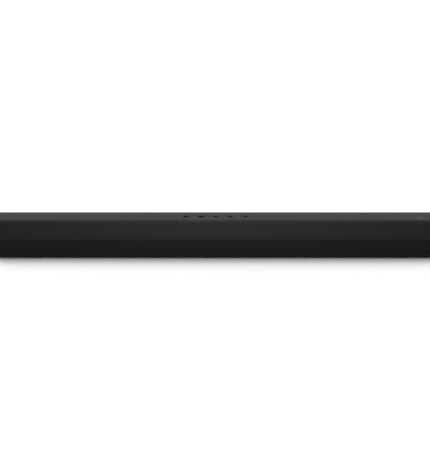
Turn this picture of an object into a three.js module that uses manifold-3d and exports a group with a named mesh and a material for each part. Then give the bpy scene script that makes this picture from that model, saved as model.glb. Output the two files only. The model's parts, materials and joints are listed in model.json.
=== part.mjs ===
// A compact two-channel soundbar: a fabric-fronted plastic bar with a ridge along its front, five raised push
// buttons on top, a recessed connector bay and two keyhole plates in its rear, and four rubber feet.
// Inside are two racetrack loudspeakers, a main board with its amplifier, a button board and their wiring.
// Millimetres. The bar lies along X, faces -Y and stands on Z = 0. The origin is under its middle.
import * as THREE from "three";
import { mergeVertices } from "three/addons/utils/BufferGeometryUtils.js";
import Module from "manifold-3d";

const wasm = await Module();
wasm.setup();

// ---------------------------------------------------------------- driving dimensions
const gap = 0.3; // between pieces that touch
const bar = { length: 720, depth: 87, height: 63, stand: 2, wall: 2.2, rearRadius: 2.5, rearChamfer: 2 };
// The front's slopes: its ridge's height, how far it leans back above and tucks under below, and the chamfers at its
// top edge and under its bottom lip.
const front = { ridge: 32.7, leanBack: 6, tuckUnder: 7.5, chamfer: 3.2, underChamfer: 1.9 };
const cap = { thickness: 4, edge: 1.2, rib: 1.8, ribReach: 3.5, ribInset: 4 };
// hem is the height of the cloth's lower edge, and groove the space between its upper edge and the top plate.
const cloth = { thickness: 0.7, hem: 5.3, groove: 1.3 };
const grille = { wall: 2, slots: 12, slotPitch: 8.5, slotWidth: 6, bridge: 4, border: 5 };
const turn = { rearTop: 9, rearBottom: 4, lip: 5, lipWall: 1.6 }; // how far the case halves turn down and up
// fromSpeaker is to the bulkhead beside it, and notch the width and height of the wire's way through that.
const baffle = { thickness: 3, bulkhead: 2, fromSpeaker: 85, notch: [6, 6], notchFromRear: 21.5 };
const rib = { height: 2.6, thickness: 1.5, from: 76, y: [-14, 22], clear: 6 };

// below and above are the room under and over a speaker, and rim is what its flange covers round the baffle's hole.
const speaker = {
  fromEnd: 115,
  width: 112,
  below: 3.8,
  above: 1,
  rim: 3.5,
  flange: 1.2,
  wall: 1.2,
  hole: 99,
  terminal: [7, 5],
  window: { x: [24, 44], y: [-8, 8], width: 9, z: [-14, -4] },
};
// edge is from the frame to the cone, step from the cone's height to its neck, and roll the surround's height.
const cone = { edge: 5.5, step: 10, depth: 10, wall: 0.8, travel: 2.5, roll: 2, rollWidth: 7.4, lip: 6 };
const motor = { plate: 3, magnet: 9, yoke: 4, front: -17, coilWall: 0.6, slit: 0.4 };

const button = { pitch: 24.5, y: 0, depth: 6.5, rise: 1.2, edge: 0.5, slit: 0.25, flange: 1.5, skirt: 0.9 };
const buttonTravel = 0.7;
const buttons = [
  { name: "power_button", width: 9 },
  { name: "source_button", width: 11 },
  { name: "volume_down_button", width: 7.5 },
  { name: "volume_up_button", width: 7 },
  { name: "pairing_button", width: 6.5 },
];
const guide = { length: 124, depth: 18, plate: 1.2, stem: 3, hole: 3.8, rail: 1.6, leg: 3 };
const keySwitch = { size: 6, height: 1.1, plunger: 0.4 };
const badge = { fromEnd: 24, y: -14, width: 12, depth: 9, thickness: 0.8, pocket: 0.8 };

const bay = { width: 124, height: 26, depth: 28, wall: 1.8, floor: 10.5, rim: 3, corner: 1.2 };
const socket = { proud: 0.5, length: 13 };
const sockets = {
  video_socket: { x: 38, width: 15.2, height: 6 },
  optical_socket: { x: 12, width: 10, height: 10 },
  data_socket: { x: -12, width: 13.2, height: 5.7 },
  power_jack: { x: -38, width: 9.4, height: 10.6 },
};
const optical = { bore: 8, depth: 10, shutter: 7.2, shutterWall: 0.9, recess: 0.4 };
const board = { length: 132, bottom: 11.3, thickness: 1.6, fromBaffle: 4.2, post: 6, postInset: [6, 5] };
const vent = { from: 84, pitch: 7, width: 2.4, height: 18, clear: 8 };
// head and slot are the widths of a keyhole's entry and slot, and rise is how far up the slot a wall screw slides.
const keyhole = {
  fromEnd: 110,
  below: 2.2,
  width: 26,
  height: 34,
  plate: 1.2,
  head: 9.5,
  slot: 4.6,
  rise: 9,
  pocket: 9.5,
  play: 3, // round a wall screw's head in the pocket
};
const foot = { fromEnd: 60, inset: [18.5, 12.5], length: 34, width: 11, pocket: 0.8 }; // inset: from front and rear
// inset is from the baffle for the front screws and from the rear for the rear ones. bore is the hole's depth.
const screw = {
  fromEnd: 30,
  inset: [4.6, 7.5],
  head: 6,
  headHeight: 1.6,
  shank: 2.8,
  length: 9,
  bore: 9,
  boss: 8,
  pocket: 2.2,
};
const lamp = { x: 6, pipe: 3, receiver: 6, window: [26, 13], board: 1.2 };
const heatSink = { x: -25, width: 34, clear: [3, 6], base: 3, fins: 6, fin: 1.2, height: 15 }; // clear: front, rear
const chip = { width: 10, depth: 8, height: 1.6 };
const wireless = { x: 46, fromFront: 6, card: [20, 10, 1], can: [13, 8, 2.8], canOffset: -2 };
const capacitor = { x: -50, fromFront: [6, 14], diameter: 7, height: 12 };
const wire = 2.4;
const wirePlug = { fromEnd: 5, width: 6, depth: 5, height: 4, forward: 1.5 }; // forward of the ribbon's plug
const ribbon = { x: 26, width: 12, thickness: 0.4, plug: [14, 4, 3.6], fromSockets: 7, fromGuideEdge: 5, bow: 4 };

// ---------------------------------------------------------------- places worked out from them
const rearY = bar.depth / 2;
const frontY = -rearY;
const endX = bar.length / 2;
const bodyEnd = endX - cap.thickness - gap; // where the long pieces stop, short of an end cap
const topUnder = bar.height - bar.wall;
const floorTop = bar.stand + bar.wall;
const rearInner = rearY - bar.wall;
const topEdgeY = frontY + front.leanBack + front.chamfer + cloth.groove; // the top plate's front edge
const skirtTopZ = bar.height - turn.rearTop;
const skirtBottomZ = bar.stand + turn.rearBottom;
const baffleFrontY = topEdgeY + turn.lipWall + gap;
const baffleBackY = baffleFrontY + baffle.thickness;

const speakerX = endX - speaker.fromEnd;
const speakerTop = bar.height - turn.lip - speaker.above;
const speakerBottom = floorTop + speaker.below;
const speakerHeight = speakerTop - speakerBottom;
const speakerZ = (speakerTop + speakerBottom) / 2;
const speakerHole = [speaker.hole, speakerHeight - 2 * speaker.rim];
const bulkheadX = speakerX - baffle.fromSpeaker;

const bayBackY = rearY - bay.depth; // the bay's back wall, on the side that plugs meet
const bayMiddle = bay.floor + bay.height / 2;
const bayOuter = [bay.width + 2 * bay.wall, bay.height + 2 * bay.wall];
const boardTop = board.bottom + board.thickness;
const boardRearY = bayBackY - bay.wall - gap;
const boardFrontY = baffleBackY + board.fromBaffle;
const onBoard = boardTop + gap;
const socketFrontY = bayBackY + socket.proud;
const socketBackY = socketFrontY - socket.length;

const guideTop = topUnder - gap - button.skirt - buttonTravel - gap;
const guideBottom = guideTop - guide.plate;
const stemBottom = guideBottom - gap;
const plungerTop = stemBottom - buttonTravel - gap / 3;
const keyBoardTop = plungerTop - keySwitch.height - keySwitch.plunger;

const buttonX = (i) => (i - (buttons.length - 1) / 2) * button.pitch;
const mirroredX = (x, y) => [-x, x].map((side) => [side, y]);
const footSpots = [frontY + foot.inset[0], rearY - foot.inset[1]].flatMap((y) =>
  mirroredX(endX - foot.fromEnd, y),
);
const frontScrews = [(board.length / 2 + bulkheadX) / 2, endX - screw.fromEnd].flatMap((x) =>
  mirroredX(x, baffleBackY + screw.inset[0]),
);
const keyholeX = endX - keyhole.fromEnd;
const keyholeZ = skirtTopZ - gap - keyhole.below - keyhole.height / 2; // the middle of its plate and slot
const rearScrews = mirroredX(keyholeX - keyhole.width, rearY - screw.inset[1]);
const boardPosts = [boardFrontY + board.postInset[1], boardRearY - board.postInset[1]].flatMap((y) =>
  mirroredX(board.length / 2 - board.postInset[0], y),
);
const ribbonY = socketBackY - ribbon.fromSockets; // where the ribbon meets the main board
const keyPlugY = button.y - guide.depth / 2 + ribbon.fromGuideEdge; // and the button board
const notchY = rearY - baffle.notchFromRear;

// ---------------------------------------------------------------- materials
const material = (color, roughness, metalness = 0) =>
  new THREE.MeshStandardMaterial({ color, roughness, metalness });
const finish = {
  casePlastic: material(0x26262a, 0.5),
  cloth: material(0x1a1a1b, 0.95),
  innerPlastic: material(0x151516, 0.7),
  buttonPlastic: material(0x0b0b0c, 0.55),
  badge: material(0x4b4b4e, 0.4, 0.3),
  rubber: material(0x101010, 0.9),
  steel: material(0xb4b6ba, 0.35, 1),
  blackSteel: material(0x1c1c1e, 0.45, 0.8),
  aluminium: material(0xc6c8cc, 0.35, 1),
  ferrite: material(0x2e2d2c, 0.8),
  copper: material(0xb06a3a, 0.4, 1),
  paper: material(0x121212, 0.95),
  resin: material(0x0d5a34, 0.5),
  chip: material(0x111113, 0.6),
  ribbon: material(0xd9d4c4, 0.6),
  clear: material(0xe6eef0, 0.15),
};

// ---------------------------------------------------------------- geometry helpers
const X = new THREE.Vector3(1, 0, 0);
const Y = new THREE.Vector3(0, 1, 0);
const Z = new THREE.Vector3(0, 0, 1);
const alongX = new THREE.Matrix4().makeBasis(Y, Z, X); // drawn in (Y, Z), extruded towards +X
const alongY = new THREE.Matrix4().makeBasis(Z, X, Y); // drawn in (Z, X), extruded towards +Y

// A closed geometry as a manifold solid.
function solid(shape) {
  if (shape instanceof wasm.Manifold) return shape;
  const bare = shape.clone();
  bare.deleteAttribute("normal");
  bare.deleteAttribute("uv");
  const merged = mergeVertices(bare, 1e-4);
  const vertProperties = new Float32Array(merged.attributes.position.array);
  const triVerts = new Uint32Array(merged.index.array);
  return new wasm.Manifold(new wasm.Mesh({ numProp: 3, vertProperties, triVerts }));
}

const cut = (base, ...tools) => tools.flat().reduce((left, tool) => left.subtract(solid(tool)), solid(base));
const join = (base, ...others) => others.flat().reduce((sum, other) => sum.add(solid(other)), solid(base));

function geometryOf(shape) {
  if (shape.isBufferGeometry) return shape;
  const { numProp, numVert, vertProperties, triVerts } = shape.getMesh();
  const position = new Float32Array(numVert * 3);
  for (let i = 0; i < numVert; i++) {
    position.set(vertProperties.subarray(i * numProp, i * numProp + 3), i * 3);
  }
  const geometry = new THREE.BufferGeometry();
  geometry.setAttribute("position", new THREE.BufferAttribute(position, 3));
  geometry.setIndex(new THREE.BufferAttribute(new Uint32Array(triVerts), 1));
  return geometry;
}

// A block from its lowest and highest X, Y and Z.
function block([x0, x1], [y0, y1], [z0, z1]) {
  const box = new THREE.BoxGeometry(x1 - x0, y1 - y0, z1 - z0);
  return box.translate((x0 + x1) / 2, (y0 + y1) / 2, (z0 + z1) / 2);
}

// A middle and a full width as a lowest and a highest value.
const about = (middle, width) => [middle - width / 2, middle + width / 2];

// An outline of [u, v] points extruded along the third axis.
function prism(outline, from, to) {
  const shape = new THREE.Shape(outline.map(([u, v]) => new THREE.Vector2(u, v)));
  return new THREE.ExtrudeGeometry(shape, { depth: to - from, bevelEnabled: false }).translate(0, 0, from);
}

// An outline in (Y, Z) run along the bar.
const barPrism = (outline, from = -bodyEnd, to = bodyEnd) => prism(outline, from, to).applyMatrix4(alongX);

// An outline in (X, Z) run from one Y to another.
const deepPrism = (outline, from, to) =>
  prism(outline.map(([x, z]) => [z, x]), from, to).applyMatrix4(alongY);

// A round-ended outline, or a circle where width and height are equal.
function pill(width, height, count = 16) {
  const radius = Math.min(width, height) / 2;
  return roundedBox(width, height, radius, count);
}

// A rectangle with round corners. No point lies at the middle of a side, so outlines with one count match.
function roundedBox(width, height, radius, count = 12) {
  return Array.from({ length: count }, (_, i) => {
    const angle = ((i + 0.5) * 2 * Math.PI) / count;
    const [c, s] = [Math.cos(angle), Math.sin(angle)];
    return [
      Math.sign(c) * (width / 2 - radius) + radius * c,
      Math.sign(s) * (height / 2 - radius) + radius * s,
    ];
  });
}

// Skins rings of equal length, each { outline, z }. An open loft's rings rise and its ends are capped. A closed
// loft joins the last ring to the first: its rings run up the outside and back down the inside.
function loft(rings, closed = false) {
  const count = rings[0].outline.length;
  const position = rings.flatMap(({ outline, z }) => outline.flatMap(([u, v]) => [u, v, z]));
  const index = [];
  for (let r = 0; r < rings.length - (closed ? 0 : 1); r++) {
    const [low, high] = [r * count, ((r + 1) % rings.length) * count];
    for (let i = 0; i < count; i++) {
      const j = (i + 1) % count;
      index.push(low + i, low + j, high + j, low + i, high + j, high + i);
    }
  }
  if (!closed) {
    const top = (rings.length - 1) * count;
    for (let i = 1; i < count - 1; i++) index.push(0, i + 1, i, top, top + i, top + i + 1);
  }
  const geometry = new THREE.BufferGeometry();
  geometry.setAttribute("position", new THREE.Float32BufferAttribute(position, 3));
  geometry.setIndex(index);
  return geometry;
}

// Pill-shaped rings from [width, height, z] rows.
const pillLoft = (rows, closed = false, count = 16) =>
  loft(rows.map(([width, height, z]) => ({ outline: pill(width, height, count), z })), closed);

const rod = (diameter, [z0, z1], count = 12) =>
  pillLoft([[diameter, diameter, z0], [diameter, diameter, z1]], false, count);

const rodAt = ([x, y], diameter, heights, count) => rod(diameter, heights, count).translate(x, y, 0);

// A ring about Z: its outer and inner diameters, between two heights.
const collar = (outer, inner, [z0, z1], count = 20) =>
  pillLoft([[outer, outer, z0], [outer, outer, z1], [inner, inner, z1], [inner, inner, z0]], true, count);

// Moves each side of a closed counter-clockwise outline inwards by the same distance.
function inset(outline, distance) {
  return outline.map(([u, v], i) => {
    const [pu, pv] = outline.at(i - 1);
    const [nu, nv] = outline[(i + 1) % outline.length];
    const a = new THREE.Vector2(u - pu, v - pv).normalize();
    const b = new THREE.Vector2(nu - u, nv - v).normalize();
    const move = new THREE.Vector2(-a.y - b.y, a.x + b.x).multiplyScalar(distance / (1 + a.dot(b)));
    return [u + move.x, v + move.y];
  });
}

function arc([u, v], radius, from, to, steps) {
  return Array.from({ length: steps + 1 }, (_, i) => {
    const angle = from + ((to - from) * i) / steps;
    return [u + radius * Math.cos(angle), v + radius * Math.sin(angle)];
  });
}

// ---------------------------------------------------------------- the bar's outline
// The front's four corners in (Y, Z), from the bottom up: toe, ridge, shoulder and brow. The toe is the lower edge of
// the lip, and the chamfer under it runs back to the floor.
const toeShare = front.underChamfer / (front.ridge - bar.stand);
const frontCorners = [
  [frontY + front.tuckUnder * (1 - toeShare), bar.stand + front.underChamfer],
  [frontY, front.ridge],
  [frontY + front.leanBack, bar.height - front.chamfer],
  [frontY + front.leanBack + front.chamfer, bar.height],
];
const underToe = [frontCorners[0][0] + front.underChamfer, bar.stand];
const rearArc = arc([rearY - bar.rearRadius, bar.height - bar.rearRadius], bar.rearRadius, 0, Math.PI / 2, 4);

// The whole section, counter-clockwise seen from +X.
const section = [
  underToe,
  [rearY - bar.rearChamfer, bar.stand],
  [rearY, bar.stand + bar.rearChamfer],
  ...rearArc,
  ...frontCorners.toReversed(),
];

// The front corners moved inwards by a distance, and cut off level at two heights.
function frontLine(distance, low, high) {
  const [toe, ridge, shoulder, brow] = inset(section, distance).slice(-4).toReversed();
  const at = (a, b, z) => [a[0] + ((b[0] - a[0]) * (z - a[1])) / (b[1] - a[1]), z];
  return [at(toe, ridge, low), ridge, shoulder, at(shoulder, brow, high)];
}

// ---------------------------------------------------------------- the case
function topCover() {
  const shell = barPrism([
    [topEdgeY, bar.height - turn.lip],
    [topEdgeY + turn.lipWall, bar.height - turn.lip],
    [topEdgeY + turn.lipWall, topUnder],
    [rearInner, topUnder],
    [rearInner, skirtTopZ],
    [rearY, skirtTopZ],
    ...rearArc,
    [topEdgeY, bar.height],
  ]);
  const runs = [[rib.from, bulkheadX - rib.clear], [bulkheadX + rib.clear, bodyEnd - 2 * rib.clear]];
  const ribs = [...runs, ...runs.map(([from, to]) => [-to, -from])].flatMap((run) =>
    rib.y.map((y) => block(run, [y, y + rib.thickness], [topUnder - rib.height, topUnder + bar.wall / 2])),
  );
  const apertures = buttons.map(({ width }, i) => {
    const outline = pill(width + 2 * button.slit, button.depth + 2 * button.slit);
    return prism(outline, topUnder - 1, bar.height + 1).translate(buttonX(i), button.y, 0);
  });
  const seat = pill(badge.width + 2 * gap, badge.depth + 2 * gap);
  const badgePocket = prism(seat, bar.height - badge.pocket, bar.height + 1);
  return cut(join(shell, ribs), apertures, badgePocket.translate(endX - badge.fromEnd, badge.y, 0));
}

function bottomCase() {
  const lipTop = cloth.hem - gap;
  const lipBack = baffleFrontY - gap;
  const shell = barPrism([
    frontCorners[0],
    underToe,
    [rearY - bar.rearChamfer, bar.stand],
    [rearY, bar.stand + bar.rearChamfer],
    [rearY, skirtBottomZ],
    [rearInner, skirtBottomZ],
    [rearInner, floorTop],
    [lipBack, floorTop],
    [lipBack, lipTop],
    frontLine(0, lipTop, bar.height)[0],
  ]);
  const spots = [...frontScrews, ...rearScrews];
  const bosses = spots.map((spot) => rodAt(spot, screw.boss, [floorTop - 0.5, floorTop + 2]));
  const posts = boardPosts.map((spot) => rodAt(spot, board.post, [floorTop - 0.5, board.bottom - gap]));
  const seat = pill(foot.length + 2 * gap, foot.width + 2 * gap);
  const footPockets = footSpots.map(([x, y]) =>
    prism(seat, bar.stand - 1, bar.stand + foot.pocket).translate(x, y, 0),
  );
  const screwHoles = spots.flatMap((spot) => [
    rodAt(spot, screw.head + 2 * gap, [bar.stand - 1, bar.stand + screw.pocket]),
    rodAt(spot, screw.shank + 2 * gap, [bar.stand, floorTop + 4]),
  ]);
  return cut(join(shell, bosses, posts), footPockets, screwHoles);
}

// A boss above each screw, with an arm to the wall that carries it, and the hole up into it.
const bossHeights = [floorTop + 2 + gap, floorTop + 10];
function screwBosses(spots, wallY) {
  return spots.flatMap((spot) => [
    rodAt(spot, screw.boss, bossHeights),
    block(about(spot[0], screw.shank), [spot[1], wallY].toSorted((a, b) => a - b), bossHeights),
  ]);
}
const screwBores = (spots) =>
  spots.map((spot) => rodAt(spot, screw.shank + 2 * gap, [floorTop, floorTop + screw.bore]));

// A hollow boss behind each keyhole plate keeps the speaker chambers sealed.
function rearPanel() {
  const heights = [skirtBottomZ + gap, skirtTopZ - gap];
  const panel = block([-bodyEnd, bodyEnd], [rearInner, rearY], heights);
  const bossFront = rearY - keyhole.pocket - bar.wall;
  const atKeyholes = (shape) => [-keyholeX, keyholeX].map((x) => shape.clone().translate(x, 0, keyholeZ));
  const boss = roundedBox(keyhole.width, keyhole.height, 4);
  const bosses = atKeyholes(deepPrism(boss, bossFront, rearInner + 0.5));
  const seat = roundedBox(keyhole.width + 2 * gap, keyhole.height + 2 * gap, 3 + gap);
  const seats = atKeyholes(deepPrism(seat, rearY - keyhole.plate - gap, rearY + 1));
  const pocket = pill(keyhole.head + keyhole.play, keyhole.head + keyhole.rise + keyhole.play);
  const pockets = atKeyholes(deepPrism(pocket, rearY - keyhole.pocket, rearY + 1));
  const hole = roundedBox(bayOuter[0] + 2 * gap, bayOuter[1] + 2 * gap, 2.5);
  const window = deepPrism(hole, rearInner - 1, rearY + 1).translate(0, 0, bayMiddle);
  const count = Math.floor((bulkheadX - vent.clear - vent.from) / vent.pitch) + 1;
  const slot = deepPrism(pill(vent.width, vent.height, 8), rearInner - 1, rearY + 1);
  const vents = Array.from({ length: count }, (_, i) => vent.from + i * vent.pitch).flatMap((x) =>
    [-x, x].map((side) => slot.clone().translate(side, 0, (heights[0] + heights[1]) / 2)),
  );
  const bossed = cut(join(panel, bosses, screwBosses(rearScrews, rearInner + 0.5)), screwBores(rearScrews));
  return cut(bossed, seats, pockets, window, vents);
}

// A tray open to the rear for the plugs, cut out round each socket. Its rim seats behind the rear panel.
function connectorBay() {
  const body = deepPrism(roundedBox(...bayOuter, 2.2), bayBackY - bay.wall, rearY - gap);
  const rimBack = rearInner - gap;
  const rimOutline = roundedBox(bayOuter[0] + 2 * bay.rim, bayOuter[1] + bay.rim, 3);
  const rim = deepPrism(rimOutline, rimBack - bay.wall, rimBack);
  const hollow = deepPrism(roundedBox(bay.width, bay.height, bay.corner), bayBackY, rearY + 1);
  const holes = Object.values(sockets).map(({ x, width, height }) =>
    block(
      about(x, width + 2 * gap),
      [bayBackY - bay.wall - 1, bayBackY + 1],
      [boardTop, onBoard + height + gap],
    ),
  );
  const tray = join(body.translate(0, 0, bayMiddle), rim.translate(0, 0, bayMiddle + bay.rim / 2));
  return cut(tray, hollow.translate(0, 0, bayMiddle), holes);
}

// The right-hand cap: the bar's section with a chamfered outer edge, and a rib ring that plugs into the case.
function endCap() {
  const inner = bodyEnd + gap;
  const plate = loft([
    { outline: section, z: inner },
    { outline: section, z: endX - cap.edge },
    { outline: inset(section, cap.edge), z: endX },
  ]);
  const [y0, y1] = [baffleBackY + 2, rearInner - 1.5];
  const [z0, z1] = [floorTop + cap.ribInset, topUnder - cap.ribInset];
  const ring = cut(
    block([inner - cap.ribReach, inner + cap.edge], [y0, y1], [z0, z1]),
    block([inner - cap.ribReach - 1, inner], [y0 + cap.rib, y1 - cap.rib], [z0 + cap.rib, z1 - cap.rib]),
  );
  return join(plate.applyMatrix4(alongX), ring);
}

// ---------------------------------------------------------------- the grille
const clothTop = bar.height - gap;

function grilleFabric() {
  return barPrism([
    ...frontLine(0, cloth.hem, clothTop).toReversed(),
    ...frontLine(cloth.thickness, cloth.hem, clothTop),
  ]);
}

function grilleFrame() {
  const outer = cloth.thickness + gap;
  const inner = outer + grille.wall;
  const [low, high] = [cloth.hem + gap, clothTop - outer];
  const shell = barPrism([
    [topEdgeY - gap, high],
    ...frontLine(outer, low, high).toReversed(),
    [baffleFrontY - gap, low],
    [baffleFrontY - gap, low + grille.wall],
    ...frontLine(inner, low + grille.wall, high - grille.wall),
    [topEdgeY - gap, high - grille.wall],
  ]);
  const rows = [
    [low + grille.border, front.ridge - grille.bridge / 2],
    [front.ridge + grille.bridge / 2, high - grille.border],
  ];
  const middleSlot = (grille.slots - 1) / 2;
  const offsets = Array.from({ length: grille.slots }, (_, i) => (i - middleSlot) * grille.slotPitch);
  const slots = [-speakerX, speakerX].flatMap((x) =>
    offsets.flatMap((offset) =>
      rows.map((row) => block(about(x + offset, grille.slotWidth), [frontY - 1, baffleFrontY - 1], row)),
    ),
  );
  const lampHole = deepPrism(pill(lamp.pipe + 2 * gap, lamp.pipe + 2 * gap, 12), frontY - 1, baffleFrontY);
  const receiverHole = deepPrism(pill(lamp.receiver + 2, lamp.receiver + 2, 12), frontY - 1, baffleFrontY);
  return cut(
    shell,
    slots,
    lampHole.translate(lamp.x, 0, front.ridge),
    receiverHole.translate(-lamp.x, 0, front.ridge),
  );
}

// The board that the loudspeakers screw to, with two bulkheads that close off a chamber for each.
function frontBaffle() {
  const heights = [floorTop + 0.5, topUnder - 0.5];
  const plate = block([-bodyEnd + gap, bodyEnd - gap], [baffleFrontY, baffleBackY], heights);
  const bulkheads = [-bulkheadX, bulkheadX].map((x) =>
    block(about(x, baffle.bulkhead), [baffleBackY - 0.5, rearInner - 0.5], heights),
  );
  const speakerHoles = [-speakerX, speakerX].map((x) =>
    deepPrism(pill(...speakerHole), baffleFrontY - 1, baffleBackY + 1).translate(x, 0, speakerZ),
  );
  const window = block(
    about(0, lamp.window[0]),
    [baffleFrontY - 1, baffleBackY + 1],
    about(front.ridge, lamp.window[1]),
  );
  const notches = [-bulkheadX, bulkheadX].map((x) =>
    block(
      about(x, 2 * baffle.bulkhead),
      about(notchY, baffle.notch[0]),
      [floorTop, floorTop + baffle.notch[1]],
    ),
  );
  const body = join(plate, bulkheads, screwBosses(frontScrews, baffleBackY - 0.5));
  return cut(body, screwBores(frontScrews), speakerHoles, window, notches);
}

// ---------------------------------------------------------------- sockets
// Each is built about its own middle in X with Z = 0 at its foot, and its mouth faces +Y.
function videoSocket({ width, height }) {
  const bevel = 1.3;
  const outline = (t) => [
    [-width / 2 + t, height - t],
    [-width / 2 + t, bevel + t / 2],
    [-width / 2 + bevel + t / 2, t],
    [width / 2 - bevel - t / 2, t],
    [width / 2 - t, bevel + t / 2],
    [width / 2 - t, height - t],
  ];
  const mouth = deepPrism(outline(0.5), socketBackY + 4, socketFrontY + 1);
  const tongue = block(about(0, width - 4), [socketBackY + 3.5, socketFrontY - 1.5], about(height / 2, 1));
  return join(cut(deepPrism(outline(0), socketBackY, socketFrontY), mouth), tongue);
}

function dataSocket({ width, height }) {
  const shell = 0.4;
  const tongueHeights = [height - 2.6, height - 0.8];
  const body = block(about(0, width), [socketBackY, socketFrontY], [0, height]);
  const mouth = block(
    about(0, width - 2 * shell),
    [socketBackY + 3, socketFrontY + 1],
    [shell, height - shell],
  );
  const tongue = block(about(0, width - 2.6), [socketBackY + 2.5, socketFrontY - 1], tongueHeights);
  return join(cut(body, mouth), tongue);
}

function powerJack({ width, height }) {
  const [bore, pin, depth] = [6.4, 2, 9];
  const body = block(about(0, width), [socketBackY, socketFrontY], [0, height]);
  const mouth = deepPrism(pill(bore, bore, 20), socketFrontY - depth, socketFrontY + 1);
  const post = deepPrism(pill(pin, pin, 12), socketFrontY - depth - 0.5, socketFrontY - 0.6);
  return join(cut(body, mouth.translate(0, 0, height / 2)), post.translate(0, 0, height / 2));
}

function opticalSocket({ width, height }) {
  const body = block(about(0, width), [socketBackY, socketFrontY], [0, height]);
  const bore = [socketFrontY - optical.depth, socketFrontY + 1];
  return cut(body, block(about(0, optical.bore), bore, about(height / 2, optical.bore)));
}

// The flap that closes the optical socket. It swings in about its top edge.
function opticalShutter({ height }) {
  const face = socketFrontY - optical.recess;
  const plate = block(
    about(0, optical.shutter),
    [face - optical.shutterWall, face],
    about(height / 2, optical.shutter),
  );
  const grip = block(about(0, optical.shutter / 2), [face - 0.2, face + 0.3], about(height / 2, 3));
  return join(plate, grip);
}

const socketShape = {
  video_socket: videoSocket,
  optical_socket: opticalSocket,
  data_socket: dataSocket,
  power_jack: powerJack,
};

// ---------------------------------------------------------------- electronics
function mainBoard() {
  const plate = block(about(0, board.length), [boardFrontY, boardRearY], [board.bottom, boardTop]);
  const [width, depth, height] = ribbon.plug;
  const standing = (rise) => [boardTop - 0.5, boardTop + rise];
  const ribbonPlug = block(about(ribbon.x, width), about(ribbonY, depth), standing(height));
  const wirePlugs = [-1, 1].map((side) =>
    block(
      about(side * (board.length / 2 - wirePlug.fromEnd), wirePlug.width),
      about(ribbonY - wirePlug.forward, wirePlug.depth),
      standing(wirePlug.height),
    ),
  );
  const capacitors = capacitor.fromFront.map((y) =>
    rodAt([capacitor.x, boardFrontY + y], capacitor.diameter, standing(capacitor.height)),
  );
  return join(plate, ribbonPlug, wirePlugs, capacitors);
}

const heatSinkY = [boardFrontY + heatSink.clear[0], socketBackY - heatSink.clear[1]];

function heatSinkBlock() {
  const { x, width, base, fins, fin, height } = heatSink;
  const y = heatSinkY;
  const bottom = onBoard + chip.height + gap;
  const pitch = (width - fin) / (fins - 1);
  const blades = Array.from({ length: fins }, (_, i) =>
    block(about(x - (width - fin) / 2 + i * pitch, fin), y, [bottom + base - 0.5, bottom + height]),
  );
  return join(block(about(x, width), y, [bottom, bottom + base]), blades);
}

function amplifierChip() {
  const middleY = (heatSinkY[0] + heatSinkY[1]) / 2;
  return block(about(heatSink.x, chip.width), about(middleY, chip.depth), [onBoard, onBoard + chip.height]);
}

function wirelessModule() {
  const y = boardFrontY + wireless.fromFront;
  const [cardWidth, cardDepth, cardTop] = wireless.card;
  const [canWidth, canDepth, canTop] = wireless.can;
  const card = block(about(wireless.x, cardWidth), about(y, cardDepth), [onBoard, onBoard + cardTop]);
  const canX = about(wireless.x + wireless.canOffset, canWidth);
  return join(card, block(canX, about(y, canDepth), [onBoard + 0.5, onBoard + canTop]));
}

function buttonBoard() {
  const heights = [keyBoardTop - board.thickness, keyBoardTop];
  const plate = block(about(0, guide.length), about(button.y, guide.depth), heights);
  const switches = buttons.flatMap((_, i) => [
    block(
      about(buttonX(i), keySwitch.size),
      about(button.y, keySwitch.size),
      [keyBoardTop - 0.5, keyBoardTop + keySwitch.height],
    ),
    rodAt([buttonX(i), button.y], guide.stem, [keyBoardTop, plungerTop]),
  ]);
  const [width, depth, height] = ribbon.plug;
  const plugHeights = [heights[0] - height / 2, heights[0] + 0.5];
  const plug = block(about(ribbon.x, width), about(keyPlugY, depth), plugHeights);
  return join(plate, switches, plug);
}

// A plate under the top cover that the button stems slide through, with rails up to the cover and legs down to
// the board.
function buttonGuide() {
  const plate = block(about(0, guide.length), about(button.y, guide.depth), [guideBottom, guideTop]);
  const railY = (guide.depth - guide.rail) / 2;
  const rails = [-railY, railY].map((y) =>
    block(about(0, guide.length), about(button.y + y, guide.rail), [guideBottom, topUnder - gap]),
  );
  const legs = [-1, 1].flatMap((side) =>
    [-railY + 0.7, railY - 0.7].map((y) =>
      block(
        about((side * (guide.length - guide.leg)) / 2, guide.leg),
        about(button.y + y, guide.leg),
        [keyBoardTop + gap, guideTop],
      ),
    ),
  );
  const through = [guideBottom - 1, guideTop + 1];
  const holes = buttons.map((_, i) => rodAt([buttonX(i), button.y], guide.hole, through));
  return cut(join(plate, rails, legs), holes);
}

function buttonCap({ width }) {
  const { depth, flange, skirt, edge, rise } = button;
  const flangeTop = topUnder - gap;
  const top = bar.height + rise;
  return pillLoft([
    [guide.stem, guide.stem, stemBottom],
    [guide.stem, guide.stem, flangeTop - skirt],
    [width + 2 * flange, depth + 2 * flange, flangeTop - skirt],
    [width + 2 * flange, depth + 2 * flange, flangeTop],
    [width, depth, flangeTop],
    [width, depth, top - edge],
    [width - 2 * edge, depth - 2 * edge, top],
  ]);
}

// The ribbon hangs from the button board to the main board with a slack bow towards the front.
function ribbonCable() {
  const low = boardTop + ribbon.plug[2] + gap;
  const high = keyBoardTop - board.thickness - ribbon.plug[2] / 2 - gap;
  const steps = 12;
  const edge = Array.from({ length: steps + 1 }, (_, i) => {
    const share = i / steps;
    const slack = (ribbon.bow * (1 - Math.cos(2 * Math.PI * share))) / 2;
    return [ribbonY + (keyPlugY - ribbonY) * share - slack, low + (high - low) * share];
  });
  const back = edge.map(([y, z]) => [y + ribbon.thickness, z]).toReversed();
  return barPrism([...edge, ...back], ...about(ribbon.x, ribbon.width));
}

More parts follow.
